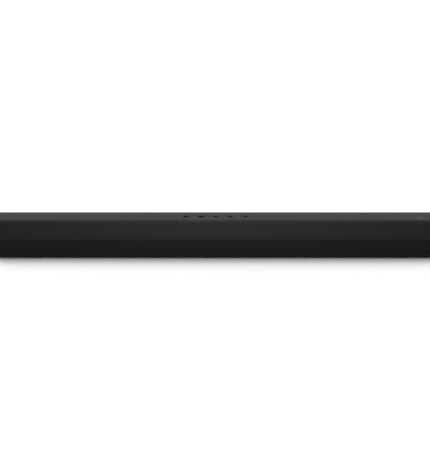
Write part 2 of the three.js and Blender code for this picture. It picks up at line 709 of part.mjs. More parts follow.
// ---------------------------------------------------------------- status lamp and remote receiver
const lampBoardFront = baffleBackY - 0.8 - lamp.board;
const statusBoard = () =>
  block(
    about(0, lamp.window[0] - 1),
    [lampBoardFront, lampBoardFront + lamp.board],
    about(front.ridge, lamp.window[1] - 1),
  );
const receiver = () => {
  const back = lampBoardFront - gap;
  const body = block(
    about(-lamp.x, lamp.receiver),
    [back - 2.5, back],
    about(front.ridge, lamp.receiver + 1),
  );
  const lens = deepPrism(pill(lamp.receiver - 1, lamp.receiver - 1, 16), back - 4, back - 2);
  return join(body, lens.translate(-lamp.x, 0, front.ridge));
};
const lightPipe = () => {
  const face = frontY + 2 * cloth.thickness + gap;
  const pipe = deepPrism(pill(lamp.pipe, lamp.pipe, 16), face, lampBoardFront - gap);
  return pipe.translate(lamp.x, 0, front.ridge);
};

// ---------------------------------------------------------------- loudspeakers
// Built about their own axis: width along X, height along Y, and the cone faces +Z. Z = 0 is the baffle's front.
const frame = [speaker.hole - 2, speakerHole[1] - 2]; // the basket where it passes through the baffle
const motorSize = frame[1]; // the round back has to pass through the same hole
const flangeFront = gap + speaker.flange;
const plateBack = motor.front - motor.plate;
const magnetBack = plateBack - gap - motor.magnet;
const coneSize = [frame[0] - 2 * cone.edge, frame[1] - 2 * cone.edge + 2];
const neck = coneSize[1] - cone.step;
const coil = [neck - 2 * gap, neck - 2 * gap - 2 * motor.coilWall]; // outer and inner diameters
const motorHole = coil[0] + 2 * motor.slit;
const pole = coil[1] - 2 * motor.slit;
const coneFront = 0.6;
const coneBack = coneFront - cone.depth;
const terminalReach = motorSize / 2 + wire / 2 + 1.1; // from the axis
const terminal = [-terminalReach * Math.SQRT1_2, -terminalReach * Math.SQRT1_2]; // where a wire meets it

function basket() {
  const { width, wall } = speaker;
  const bowlStep = -cone.travel - 1.5; // the bowl is straight down to here, past the cone's edge
  const bowl = pillLoft(
    [
      [motorSize, motorSize, plateBack],
      [motorSize, motorSize, motor.front],
      [...frame, bowlStep],
      [...frame, gap],
      [width, speakerHeight, gap],
      [width, speakerHeight, flangeFront],
      [frame[0] - 2 * wall, frame[1] - 2 * wall, flangeFront],
      [frame[0] - 2 * wall, frame[1] - 2 * wall, bowlStep],
      [motorSize - 2 * wall, motorSize - 2 * wall, motor.front],
      [motorHole, motorHole, motor.front],
      [motorHole, motorHole, plateBack],
    ],
    true,
    24,
  );
  const { x, y, width: windowWidth, z } = speaker.window;
  const windows = [x, [-x[1], -x[0]]].flatMap((span) =>
    y.map((middle) => block(span, about(middle, windowWidth), z)),
  );
  const [tabWidth, tabHeight] = speaker.terminal;
  const tab = block(about(terminal[0], tabWidth), about(terminal[1], tabHeight), [plateBack, motor.front]);
  return join(cut(bowl, windows), tab);
}

const magnet = () => collar(motorSize - 1, motorHole + 1, [magnetBack, plateBack - gap], 24);

function yoke() {
  const plateFront = magnetBack - gap;
  return pillLoft(
    [
      [motorSize - 1, motorSize - 1, plateFront - motor.yoke],
      [motorSize - 1, motorSize - 1, plateFront],
      [pole, pole, plateFront],
      [pole, pole, motor.front],
    ],
    false,
    24,
  );
}

const spider = () => collar(motorSize - 2 * speaker.wall - 2 * gap, coil[0] + 2 * gap, [-15, -14]);
const voiceCoil = () => collar(...coil, [plateBack - cone.travel - 2, coneBack + 1.4]);

function coneShell() {
  const [w, h] = coneSize;
  return pillLoft(
    [
      [neck + 2 * cone.wall, neck + 2 * cone.wall, coneBack],
      [w, h, coneFront],
      [w, h, coneFront + cone.wall],
      [w - 2 * cone.wall, h - 2 * cone.wall, coneFront + cone.wall],
      [neck, neck, coneBack + cone.wall],
      [neck, neck, coneBack],
    ],
    true,
    24,
  );
}

function dustCap() {
  const base = coneBack + 1.4 + gap;
  const dome = [[1.03, 0], [0.89, 2.2], [0.6, 3.6], [0.24, 4.2]]; // share of the neck, and height
  return pillLoft(dome.map(([share, rise]) => [share * neck, share * neck, base + rise]));
}

// The half-roll that joins the cone's edge to the basket's flange.
function surround() {
  const lip = [flangeFront + gap, flangeFront + gap + 0.6];
  const inner = coneSize[1] + 2 * gap + 0.6;
  const outer = inner + cone.rollWidth;
  const middle = (inner + outer) / 2;
  const rows = [
    [outer + cone.lip, lip[0]],
    [outer + cone.lip, lip[1]],
    [outer, lip[1]],
    [outer - 1.6, lip[1] + cone.roll * 0.8],
    [middle, lip[1] + cone.roll],
    [inner + 1.6, lip[1] + cone.roll * 0.7],
    [inner, lip[1]],
    [inner, lip[0] - 0.4],
    [inner + 2.2, lip[0] + cone.roll * 0.6],
    [middle, lip[0] + cone.roll],
    [outer - 2.2, lip[0] + cone.roll * 0.6],
    [outer - 0.6, lip[0]],
  ];
  const longer = coneSize[0] - coneSize[1];
  return pillLoft(rows.map(([height, z]) => [height + longer, height, z]), true, 24);
}

// A speaker wire: from its plug on the main board, low through the bulkhead's notch, to the speaker's tab.
function speakerWire() {
  const plugX = board.length / 2 - wirePlug.fromEnd + wirePlug.width / 2 + gap;
  const terminalX = speakerX + terminal[0];
  const low = floorTop + 3;
  const end = baffleFrontY - plateBack + gap;
  const route = [
    [plugX, ribbonY - wirePlug.forward, boardTop + wirePlug.height / 2],
    [plugX + 8, ribbonY - wirePlug.forward, boardTop + wirePlug.height / 2],
    [plugX + 20, ribbonY + 6, low + 2],
    [bulkheadX - 26, notchY - 3, low],
    [bulkheadX, notchY, low],
    [bulkheadX + 26, notchY - 3, low],
    [terminalX - 12, end + 22, low + 2],
    [terminalX, end + 11, speakerZ + terminal[1] - 1],
    [terminalX, end, speakerZ + terminal[1]],
  ];
  const points = route.map((point) => new THREE.Vector3(...point));
  const path = new THREE.CatmullRomCurve3(points, false, "centripetal");
  const shape = new THREE.Shape(pill(wire, wire, 6).map(([u, v]) => new THREE.Vector2(u, v)));
  return new THREE.ExtrudeGeometry(shape, { steps: 30, extrudePath: path, bevelEnabled: false });
}

// ---------------------------------------------------------------- small pieces
function keyholePlate() {
  const plate = deepPrism(roundedBox(keyhole.width, keyhole.height, 3), rearY - keyhole.plate, rearY);
  const entry = deepPrism(pill(keyhole.head, keyhole.head), rearY - 5, rearY + 1);
  const slot = deepPrism(pill(keyhole.slot, keyhole.rise + keyhole.slot), rearY - 5, rearY + 1);
  return cut(plate, entry.translate(0, 0, -keyhole.rise / 2), slot);
}

function rubberFoot() {
  const { length, width, pocket } = foot;
  return pillLoft([
    [length - 1.2, width - 1.2, 0],
    [length, width, 0.6],
    [length, width, bar.stand + pocket - gap],
  ]);
}

function caseScrew() {
  const headTop = bar.stand + screw.pocket - gap;
  return pillLoft(
    [
      [screw.head, screw.head, headTop - screw.headHeight],
      [screw.head, screw.head, headTop],
      [screw.shank, screw.shank, headTop],
      [screw.shank, screw.shank, headTop + screw.length],
    ],
    false,
    12,
  );
}

function badgeInlay() {
  const top = bar.height;
  return pillLoft([
    [badge.width, badge.depth, top - badge.pocket + gap],
    [badge.width, badge.depth, top + 0.1],
    [badge.width - 0.6, badge.depth - 0.6, top + badge.thickness - badge.pocket + gap],
  ]);
}

// ---------------------------------------------------------------- the assembly
const soundbar = new THREE.Group();

function piece(name, shape, look, parent = soundbar) {
  const geometry = geometryOf(shape);
  geometry.computeVertexNormals();
  const mesh = new THREE.Mesh(geometry, look);
  mesh.name = name;
  parent.add(mesh);
  return mesh;
}

piece("top_cover", topCover(), finish.casePlastic);
piece("bottom_case", bottomCase(), finish.casePlastic);
piece("rear_panel", rearPanel(), finish.casePlastic);
piece("connector_bay", connectorBay(), finish.innerPlastic);
piece("grille_frame", grilleFrame(), finish.innerPlastic);
piece("grille_fabric", grilleFabric(), finish.cloth);
piece("front_baffle", frontBaffle(), finish.innerPlastic);

const sides = [["left", -1], ["right", 1]];
for (const [side, sign] of sides) {
  piece(`${side}_end_cap`, endCap(), finish.casePlastic).scale.x = sign;
  piece(`${side}_keyhole_plate`, keyholePlate(), finish.steel).position.set(
    sign * keyholeX,
    0,
    keyholeZ,
  );
  piece(`${side}_speaker_wire`, speakerWire(), finish.innerPlastic).scale.x = sign;

  const driver = new THREE.Group();
  driver.position.set(sign * speakerX, baffleFrontY, speakerZ);
  driver.rotation.x = Math.PI / 2;
  driver.scale.x = sign;
  soundbar.add(driver);
  piece(`${side}_speaker_basket`, basket(), finish.blackSteel, driver);
  piece(`${side}_speaker_magnet`, magnet(), finish.ferrite, driver);
  piece(`${side}_speaker_yoke`, yoke(), finish.steel, driver);
  piece(`${side}_speaker_spider`, spider(), finish.ribbon, driver);
  piece(`${side}_voice_coil`, voiceCoil(), finish.copper, driver);
  piece(`${side}_speaker_cone`, coneShell(), finish.paper, driver);
  piece(`${side}_dust_cap`, dustCap(), finish.paper, driver);
  piece(`${side}_speaker_surround`, surround(), finish.rubber, driver);
}

for (const [name, size] of Object.entries(sockets)) {
  piece(name, socketShape[name](size), finish.chip).position.set(size.x, 0, onBoard);
}
piece("optical_shutter", opticalShutter(sockets.optical_socket), finish.innerPlastic).position.set(
  sockets.optical_socket.x,
  0,
  onBoard,
);

buttons.forEach((size, i) =>
  piece(size.name, buttonCap(size), finish.buttonPlastic).position.set(buttonX(i), button.y, 0),
);
piece("button_guide", buttonGuide(), finish.innerPlastic);
piece("button_board", buttonBoard(), finish.resin);
piece("ribbon_cable", ribbonCable(), finish.ribbon);
piece("main_board", mainBoard(), finish.resin);
piece("heat_sink", heatSinkBlock(), finish.aluminium);
piece("amplifier_chip", amplifierChip(), finish.chip);
piece("wireless_module", wirelessModule(), finish.steel);
piece("status_board", statusBoard(), finish.resin);
piece("remote_receiver", receiver(), finish.chip);
piece("light_pipe", lightPipe(), finish.clear);
piece("badge_inlay", badgeInlay(), finish.badge).position.set(endX - badge.fromEnd, badge.y, 0);
footSpots.forEach(([x, y], i) =>
  piece(`rubber_foot_${i + 1}`, rubberFoot(), finish.rubber).position.set(x, y, 0),
);
[...frontScrews, ...rearScrews].forEach(([x, y], i) =>
  piece(`case_screw_${i + 1}`, caseScrew(), finish.blackSteel).position.set(x, y, 0),
);

export default soundbar;
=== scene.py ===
"""A compact two-channel soundbar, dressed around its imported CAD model: stretched knit grille, textured
case, raised buttons with plain icons, a recessed connector bay, keyhole plates, feet and the parts inside."""

import json
import math

import bmesh
import bpy
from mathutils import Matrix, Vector

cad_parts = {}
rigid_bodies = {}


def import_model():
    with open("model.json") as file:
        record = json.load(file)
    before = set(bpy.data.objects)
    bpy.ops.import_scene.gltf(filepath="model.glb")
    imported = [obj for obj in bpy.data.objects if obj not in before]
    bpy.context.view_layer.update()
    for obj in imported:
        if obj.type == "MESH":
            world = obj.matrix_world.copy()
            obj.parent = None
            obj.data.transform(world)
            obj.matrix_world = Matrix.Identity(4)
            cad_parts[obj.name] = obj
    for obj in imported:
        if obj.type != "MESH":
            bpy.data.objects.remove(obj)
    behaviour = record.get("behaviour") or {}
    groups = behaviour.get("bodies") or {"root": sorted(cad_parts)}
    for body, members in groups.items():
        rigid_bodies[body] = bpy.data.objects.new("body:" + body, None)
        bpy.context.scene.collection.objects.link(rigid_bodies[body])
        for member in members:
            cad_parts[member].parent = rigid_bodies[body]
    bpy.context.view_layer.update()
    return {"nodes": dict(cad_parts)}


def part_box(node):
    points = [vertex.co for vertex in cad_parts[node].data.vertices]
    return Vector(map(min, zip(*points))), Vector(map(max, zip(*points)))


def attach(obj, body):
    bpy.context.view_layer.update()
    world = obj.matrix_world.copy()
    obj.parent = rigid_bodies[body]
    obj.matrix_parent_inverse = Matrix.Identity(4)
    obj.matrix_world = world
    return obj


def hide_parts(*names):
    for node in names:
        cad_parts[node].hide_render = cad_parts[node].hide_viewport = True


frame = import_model()

MM = 0.001

# ---------------------------------------------------------------- places and sizes, in metres
CAP_LOW, CAP_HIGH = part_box("right_end_cap")
COVER_LOW, COVER_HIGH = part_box("top_cover")
PANEL_LOW, PANEL_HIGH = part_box("rear_panel")
BAY_LOW, BAY_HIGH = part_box("connector_bay")
CLOTH_LOW, CLOTH_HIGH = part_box("grille_fabric")
BAFFLE_FRONT_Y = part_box("front_baffle")[0].y

WALL = 2.2 * MM
GAP = 0.3 * MM  # between pieces that touch
CAP_THICKNESS = 4 * MM
END_X = CAP_HIGH.x
CAP_INNER_X = END_X - CAP_THICKNESS
BODY_END = COVER_HIGH.x  # where the long pieces stop, short of an end cap
FRONT_Y, REAR_Y = CAP_LOW.y, CAP_HIGH.y
BASE_Z, TOP_Z = CAP_LOW.z, CAP_HIGH.z

# The front's slopes and its chamfers, as the CAD model has them.
TUCK_UNDER = 7.5 * MM
LEAN_BACK = 6 * MM
CHAMFER = 3.2 * MM
RIDGE_Z = 32.7 * MM
UNDER_CHAMFER = 1.9 * MM
TOE = (FRONT_Y + TUCK_UNDER * (1 - UNDER_CHAMFER / (RIDGE_Z - BASE_Z)), BASE_Z + UNDER_CHAMFER)
UNDER_TOE = (TOE[0] + UNDER_CHAMFER, BASE_Z)
RIDGE = (FRONT_Y, RIDGE_Z)
SHOULDER = (FRONT_Y + LEAN_BACK, TOP_Z - CHAMFER)
BROW = (FRONT_Y + LEAN_BACK + CHAMFER, TOP_Z)
REAR_RADIUS = 2.5 * MM
REAR_CHAMFER = 2 * MM
SKIRT_TOP = PANEL_LOW.z - GAP
BADGE_POCKET = 0.8 * MM
FOOT_POCKET = 0.8 * MM
KEY_FLANGE = 1.5 * MM  # how far a button's flange reaches past its cap
KEY_SLIT = 0.25 * MM

KEYS = []
for key_name in ("power", "source", "volume_down", "volume_up", "pairing"):
    key_low, key_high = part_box(f"{key_name}_button")
    KEYS.append({
        "name": key_name,
        "low": key_low,
        "high": key_high,
        "width": key_high.x - key_low.x - 2 * KEY_FLANGE,
        "depth": key_high.y - key_low.y - 2 * KEY_FLANGE,
    })

FEET = [f"rubber_foot_{i}" for i in range(1, 5)]
SCREWS = [f"case_screw_{i}" for i in range(1, 7)]
SOCKETS = ["video_socket", "optical_socket", "data_socket", "power_jack"]

# The bay's flange reaches further up than down, so its pocket's middle is below the box's.
BAY_RIM, BAY_WALL, BAY_DEPTH = 3 * MM, 1.8 * MM, 28 * MM
BAY_WIDTH, BAY_HEIGHT = 124 * MM, 26 * MM
BAY_MIDDLE_Z = (BAY_LOW.z + BAY_HIGH.z - BAY_RIM) / 2
PLATE_WIDTH, PLATE_HEIGHT, PLATE_THICKNESS = 26 * MM, 34 * MM, 1.2 * MM


# ---------------------------------------------------------------- outlines
SLIVER = 1e-6


def circle(radius, count=40, centre=(0, 0)):
    """A circle of points, counter-clockwise."""
    angles = [i * 2 * math.pi / count for i in range(count)]
    return [(centre[0] + radius * math.cos(a), centre[1] + radius * math.sin(a)) for a in angles]


def rounded(width, height, radius, steps=8):
    """A rectangle about the origin with round corners, counter-clockwise. The radius stops just short of half
    a side, so that every outline with the same steps has as many points."""
    radius = min(radius, width / 2 - SLIVER, height / 2 - SLIVER)
    points = []
    for quarter, (sx, sy) in enumerate(((1, 1), (-1, 1), (-1, -1), (1, -1))):
        for i in range(steps + 1):
            angle = (quarter + i / steps) * math.pi / 2
            points.append((
                sx * (width / 2 - radius) + radius * math.cos(angle),
                sy * (height / 2 - radius) + radius * math.sin(angle),
            ))
    return points


def pill(width, height, steps=10):
    return rounded(width, height, min(width, height) / 2, steps)


def moved(outline, du, dv):
    return [(u + du, v + dv) for u, v in outline]


def filleted(corners, radii, steps=6):
    """A closed polygon with each corner rounded to its radius. A radius of 0 keeps the corner."""
    points = []
    for i, (corner, radius) in enumerate(zip(corners, radii)):
        here = Vector(corner)
        if radius == 0:
            points.append(corner)
            continue
        back = (Vector(corners[i - 1]) - here).normalized()
        ahead = (Vector(corners[(i + 1) % len(corners)]) - here).normalized()
        half = back.angle(ahead) / 2
        centre = here + (back + ahead).normalized() * (radius / math.sin(half))
        start = here + back * (radius / math.tan(half)) - centre
        end = here + ahead * (radius / math.tan(half)) - centre
        first = math.atan2(start.y, start.x)
        sweep = math.remainder(math.atan2(end.y, end.x) - first, 2 * math.pi)
        for k in range(steps + 1):
            angle = first + sweep * k / steps
            points.append((centre.x + radius * math.cos(angle), centre.y + radius * math.sin(angle)))
    return points


def inset(corners, distance):
    """Moves each side of a counter-clockwise polygon inwards by the same distance."""
    points = []
    for i, (u, v) in enumerate(corners):
        a = (Vector((u, v)) - Vector(corners[i - 1])).normalized()
        b = (Vector(corners[(i + 1) % len(corners)]) - Vector((u, v))).normalized()
        shift = distance / (1 + a.dot(b))
        points.append((u + (-a.y - b.y) * shift, v + (a.x + b.x) * shift))
    return points


def level_with(a, b, z):
    """The point at height z on the line from a to b, both (Y, Z)."""
    return (a[0] + (b[0] - a[0]) * (z - a[1]) / (b[1] - a[1]), z)


def middle_of(low, high):
    """The middle of a box in plan."""
    return (low.x + high.x) / 2, (low.y + high.y) / 2


def pill_round(low, high, margin):
    """A pill round a box in plan, past it by the margin on each side."""
    return moved(pill(high.x - low.x + 2 * margin, high.y - low.y + 2 * margin), *middle_of(low, high))


# The bar's section, (Y, Z), counter-clockwise, and the radius of each of its corners.
REAR_CORNER = [(REAR_Y - REAR_CHAMFER, BASE_Z), (REAR_Y, BASE_Z + REAR_CHAMFER)]
SECTION = [UNDER_TOE, *REAR_CORNER, (REAR_Y, TOP_Z), BROW, SHOULDER, RIDGE, TOE]
SECTION_RADII = [0.5 * MM, 0.8 * MM, 0.8 * MM, REAR_RADIUS, 1.5 * MM, 1.5 * MM, 4 * MM, 0.5 * MM]


# ---------------------------------------------------------------- meshes
MERGE = 4e-6  # a prism's points nearer than this are one, because such a short side spoils a boolean
AXES = {
    "X": lambda u, v, w: (w, u, v),
    "Y": lambda u, v, w: (u, w, v),
    "Z": lambda u, v, w: (u, v, w),
}


def new_object(name, vertices, faces):
    mesh = bpy.data.meshes.new(name)
    mesh.from_pydata([tuple(v) for v in vertices], [], faces)
    mesh.update()
    obj = bpy.data.objects.new(name, mesh)
    bpy.context.scene.collection.objects.link(obj)
    recalculate(obj)
    return obj


def recalculate(obj):
    """Points every face outwards."""
    bm = bmesh.new()
    bm.from_mesh(obj.data)
    bmesh.ops.remove_doubles(bm, verts=bm.verts, dist=1e-7)
    bmesh.ops.recalc_face_normals(bm, faces=bm.faces)
    bm.to_mesh(obj.data)
    bm.free()


def prism(name, outline, axis, low, high):
    """An outline run along an axis. Outlines are (Y, Z) for X, (X, Z) for Y and (X, Y) for Z."""
    place = AXES[axis]
    outline = [point for i, point in enumerate(outline) if math.dist(point, outline[i - 1]) > MERGE]
    count = len(outline)
    vertices = [place(u, v, w) for w in (low, high) for u, v in outline]
    sides = [(i, (i + 1) % count, count + (i + 1) % count, count + i) for i in range(count)]
    return new_object(name, vertices, [tuple(range(count)), tuple(range(count, 2 * count)), *sides])


def block(name, low, high):
    (x0, y0, z0), (x1, y1, z1) = low, high
    return prism(name, [(x0, y0), (x1, y0), (x1, y1), (x0, y1)], "Z", z0, z1)


def loft(name, rings, axis="Z", closed=False):
    """Skins rings of (outline, height). A closed loft joins its last ring to its first, else it has ends."""
    place = AXES[axis]
    count = len(rings[0][0])
    vertices = [Vector(place(u, v, w)) for outline, w in rings for u, v in outline]
    faces = []
    for r in range(len(rings) - (0 if closed else 1)):
        a, b = r * count, ((r + 1) % len(rings)) * count
        faces += [(a + i, a + (i + 1) % count, b + (i + 1) % count, b + i) for i in range(count)]
    if not closed:
        faces += [tuple(range(count)), tuple(range((len(rings) - 1) * count, len(rings) * count))]
    return new_object(name, vertices, faces)


def apply_modifiers(obj):
    """Replaces the mesh with its evaluated one and drops the modifiers."""
    bpy.context.view_layer.update()
    graph = bpy.context.evaluated_depsgraph_get()
    mesh = bpy.data.meshes.new_from_object(obj.evaluated_get(graph), depsgraph=graph)
    old = obj.data
    obj.modifiers.clear()
    obj.data = mesh
    bpy.data.meshes.remove(old)


def combine(obj, others, operation):
    """Joins other solids to obj, or cuts them out of it, and removes them."""
    for other in others:
        step = obj.modifiers.new("step", "BOOLEAN")
        step.operation = operation
        step.solver = "EXACT"
        step.object = other
        apply_modifiers(obj)
        bpy.data.objects.remove(other)
    return obj


def merged(name, objects):
    """Gathers objects into one, as loose parts of one mesh."""
    bm = bmesh.new()
    for obj in objects:
        bm.from_mesh(obj.data)
        bpy.data.objects.remove(obj)
    mesh = bpy.data.meshes.new(name)
    bm.to_mesh(mesh)
    bm.free()
    result = bpy.data.objects.new(name, mesh)
    bpy.context.scene.collection.objects.link(result)
    return result


def cut(obj, *tools):
    return combine(obj, [merged("tools", list(tools))], "DIFFERENCE")


def join(obj, *parts):
    return combine(obj, parts, "UNION")


def soften(obj, width, segments=3, angle=30):
    """Rounds the sharp edges and shades the result smooth, with the faces square to an axis kept flat."""
    bm = bmesh.new()
    bm.from_mesh(obj.data)
    bmesh.ops.remove_doubles(bm, verts=bm.verts, dist=2 * SLIVER)
    bmesh.ops.dissolve_limit(bm, angle_limit=math.radians(0.5), verts=bm.verts, edges=bm.edges)
    bm.to_mesh(obj.data)
    bm.free()
    obj.data.shade_smooth()
    bevel = obj.modifiers.new("edges", "BEVEL")
    bevel.width = width
    bevel.segments = segments
    bevel.limit_method = "ANGLE"
    bevel.angle_limit = math.radians(angle)
    bevel.use_clamp_overlap = True
    even = obj.modifiers.new("normals", "WEIGHTED_NORMAL")
    even.mode, even.weight, even.keep_sharp = "FACE_AREA", 100, False
    apply_modifiers(obj)
    mesh = obj.data
    normals = [corner.vector.copy() for corner in mesh.corner_normals]
    for polygon in mesh.polygons:
        if max(abs(c) for c in polygon.normal) > 0.99999:
            for i in polygon.loop_indices:
                normals[i] = polygon.normal.copy()
    mesh.normals_split_custom_set(normals)
    return obj


def smooth(obj, angle=35):
    obj.data.shade_smooth()
    obj.data.set_sharp_from_angle(angle=math.radians(angle))
    return obj


# ---------------------------------------------------------------- materials
def node(mat, kind, **inputs):
    """Adds a node. Inputs are named as on it, with _ for spaces, and a socket given as a value is linked."""
    made = mat.node_tree.nodes.new("ShaderNode" + kind)
    for name, value in inputs.items():
        feed(mat, made.inputs[name.replace("_", " ")], value)
    return made


def feed(mat, socket, value):
    if isinstance(value, bpy.types.NodeSocket):
        mat.node_tree.links.new(value, socket)
    else:
        socket.default_value = value


def maths(mat, operation, a, b=0.0):
    made = mat.node_tree.nodes.new("ShaderNodeMath")
    made.operation = operation
    feed(mat, made.inputs[0], a)
    feed(mat, made.inputs[1], b)
    return made.outputs[0]


def places(mat, stretch=(1, 1, 1)):
    """Places in the object's own frame, in metres, stretched where a pattern runs one way."""
    source = node(mat, "TexCoord").outputs["Object"]
    return node(mat, "Mapping", Vector=source, Scale=stretch).outputs["Vector"]


def noise(mat, size, detail=3.0, stretch=(1, 1, 1), rough=0.55):
    """Soft noise from 0 to 1 whose features are about this size in metres."""
    made = node(mat, "TexNoise", Vector=places(mat, stretch), Scale=1 / size, Detail=detail, Roughness=rough)
    return made.outputs["Fac"]


def surface(name, colour, roughness, metallic=0.0, **fixed):
    """A Principled material. What is the same all over is set on the shader's own sockets."""
    mat = bpy.data.materials.new(name)
    mat.use_nodes = True
    shader = mat.node_tree.nodes["Principled BSDF"]
    shader.inputs["Base Color"].default_value = (*colour, 1)
    shader.inputs["Roughness"].default_value = roughness
    shader.inputs["Metallic"].default_value = metallic
    for key, value in fixed.items():
        shader.inputs[key.replace("_", " ")].default_value = value
    return mat


def shader_of(mat):
    return mat.node_tree.nodes["Principled BSDF"]


def tint(mat, fac, colour, spread):
    """Lets the base colour run from (1 - spread) to (1 + spread) times a colour, along fac."""
    ramp = node(mat, "ValToRGB", Fac=fac)
    ramp.color_ramp.elements[0].position = 0.3
    ramp.color_ramp.elements[1].position = 0.7
    ramp.color_ramp.elements[0].color = (*[c * (1 - spread) for c in colour], 1)
    ramp.color_ramp.elements[1].color = (*[min(1, c * (1 + spread)) for c in colour], 1)
    feed(mat, shader_of(mat).inputs["Base Color"], ramp.outputs["Color"])


def gloss(mat, fac, low, high):
    """Lets the roughness run from low to high, along fac."""
    limits = node(mat, "MapRange", Value=fac, From_Min=0.3, From_Max=0.7, To_Min=low, To_Max=high)
    feed(mat, shader_of(mat).inputs["Roughness"], limits.outputs["Result"])


def bump(mat, *layers):
    """Raises the surface by each (height, metres) pair in turn."""
    normal = None
    for height, distance in layers:
        made = node(mat, "Bump", Height=height, Strength=1.0, Distance=distance)
        if normal:
            feed(mat, made.inputs["Normal"], normal)
        normal = made.outputs["Normal"]
    feed(mat, shader_of(mat).inputs["Normal"], normal)


def moulded(name, colour, roughness, grain=0.35 * MM, depth=0.02 * MM, spread=0.12, **fixed):
    """Moulded plastic: a fine spark-eroded grain, with faint flow marks in its gloss and colour."""
    mat = surface(name, colour, roughness, **fixed)
    fine, flow = noise(mat, grain, 2.0), noise(mat, 28 * MM, 3.0)
    mix = maths(mat, "ADD", maths(mat, "MULTIPLY", fine, 0.6), maths(mat, "MULTIPLY", flow, 0.4))
    tint(mat, mix, colour, spread)
    gloss(mat, flow, roughness - 0.05, roughness + 0.05)
    bump(mat, (fine, depth))
    return mat


def metal(name, colour, roughness, stretch=(1, 1, 1), grain=0.2 * MM, spread=0.08, **fixed):
    """Rolled or brushed metal: streaks along the stretched axis, and patches that are duller."""
    mat = surface(name, colour, roughness, metallic=1.0, **fixed)
    streaks, patches = noise(mat, grain, 3.0, stretch), noise(mat, 6 * MM, 2.0)
    tint(mat, patches, colour, spread)
    mix = maths(mat, "ADD", maths(mat, "MULTIPLY", streaks, 0.7), maths(mat, "MULTIPLY", patches, 0.3))
    gloss(mat, mix, roughness - 0.1, roughness + 0.12)
    bump(mat, (streaks, 0.004 * MM))
    return mat


def knit(name, colour, pitch):
    """A stretched knit cloth: yarns crossing over and under each other, with paler and darker fibres, and
    painted shade where the yarns dip.
    """
    mat = surface(name, colour, 0.85, Specular_IOR_Level=0.15, Sheen_Weight=0.04, Sheen_Roughness=0.5)
    across = node(mat, "SeparateXYZ", Vector=node(mat, "UVMap").outputs["UV"])
    mat.node_tree.nodes["UV Map"].uv_map = "cloth"
    waves = [maths(mat, "COSINE", maths(mat, "MULTIPLY", across.outputs[i], math.pi / pitch)) for i in (0, 1)]
    over = maths(mat, "MULTIPLY", maths(mat, "MULTIPLY", *waves), 0.3)
    warp, weft = (maths(mat, "ABSOLUTE", wave) for wave in waves)
    warp_height = maths(mat, "MULTIPLY", warp, maths(mat, "ADD", 0.7, over))
    weft_height = maths(mat, "MULTIPLY", weft, maths(mat, "SUBTRACT", 0.7, over))
    yarn = maths(mat, "MAXIMUM", warp_height, weft_height)
    fibres = noise(mat, 0.4 * MM, 3.0, (1, 1, 1), 0.7)
    patches = noise(mat, 9 * MM, 3.0)
    # The base colour follows the yarn's height, darker where the yarns dip: painted shade in the hollows of
    # the weave. The fibres and patches are the yarn's own tone.
    mix = maths(mat, "ADD", maths(mat, "MULTIPLY", yarn, 0.45), maths(mat, "MULTIPLY", fibres, 0.4))
    tint(mat, maths(mat, "ADD", mix, maths(mat, "MULTIPLY", patches, 0.1)), colour, 0.45)
    gloss(mat, yarn, 0.95, 0.75)
    bump(mat, (yarn, 0.12 * MM), (fibres, 0.03 * MM))
    return mat


def striped(name, colour, other, roughness, pitch, axis, share=0.5, metallic=0.0):
    """Even stripes across one axis, such as a ribbon cable's conductors or a coil's turns."""
    mat = surface(name, colour, roughness, metallic)
    parts = node(mat, "SeparateXYZ", Vector=places(mat))
    wave = maths(mat, "SINE", maths(mat, "MULTIPLY", parts.outputs[axis], 2 * math.pi / pitch))
    level = maths(mat, "ADD", maths(mat, "MULTIPLY", wave, 0.5), 0.5)
    ramp = node(mat, "ValToRGB", Fac=level)
    ramp.color_ramp.elements[0].position, ramp.color_ramp.elements[1].position = share - 0.1, share + 0.1
    ramp.color_ramp.elements[0].color, ramp.color_ramp.elements[1].color = (*other, 1), (*colour, 1)
    feed(mat, shader_of(mat).inputs["Base Color"], ramp.outputs["Color"])
    gloss(mat, noise(mat, 2 * MM), roughness - 0.06, roughness + 0.06)
    bump(mat, (level, 0.05 * MM))
    return mat


def circuit(name, colour):
    """A printed board: solder mask over tracks and pads."""
    mat = surface(name, colour, 0.4, Specular_IOR_Level=0.5)
    cells = node(mat, "TexVoronoi", Vector=places(mat), Scale=1 / (4 * MM))
    cells.distance, cells.feature = "CHEBYCHEV", "DISTANCE_TO_EDGE"
    tracks = maths(mat, "LESS_THAN", cells.outputs["Distance"], 0.05)
    mottle = maths(mat, "MULTIPLY", noise(mat, 12 * MM), 0.5)
    level = maths(mat, "ADD", maths(mat, "MULTIPLY", tracks, 0.35), mottle)
    tint(mat, level, colour, 0.35)
    gloss(mat, noise(mat, 3 * MM), 0.32, 0.48)
    bump(mat, (tracks, 0.03 * MM))
    return mat


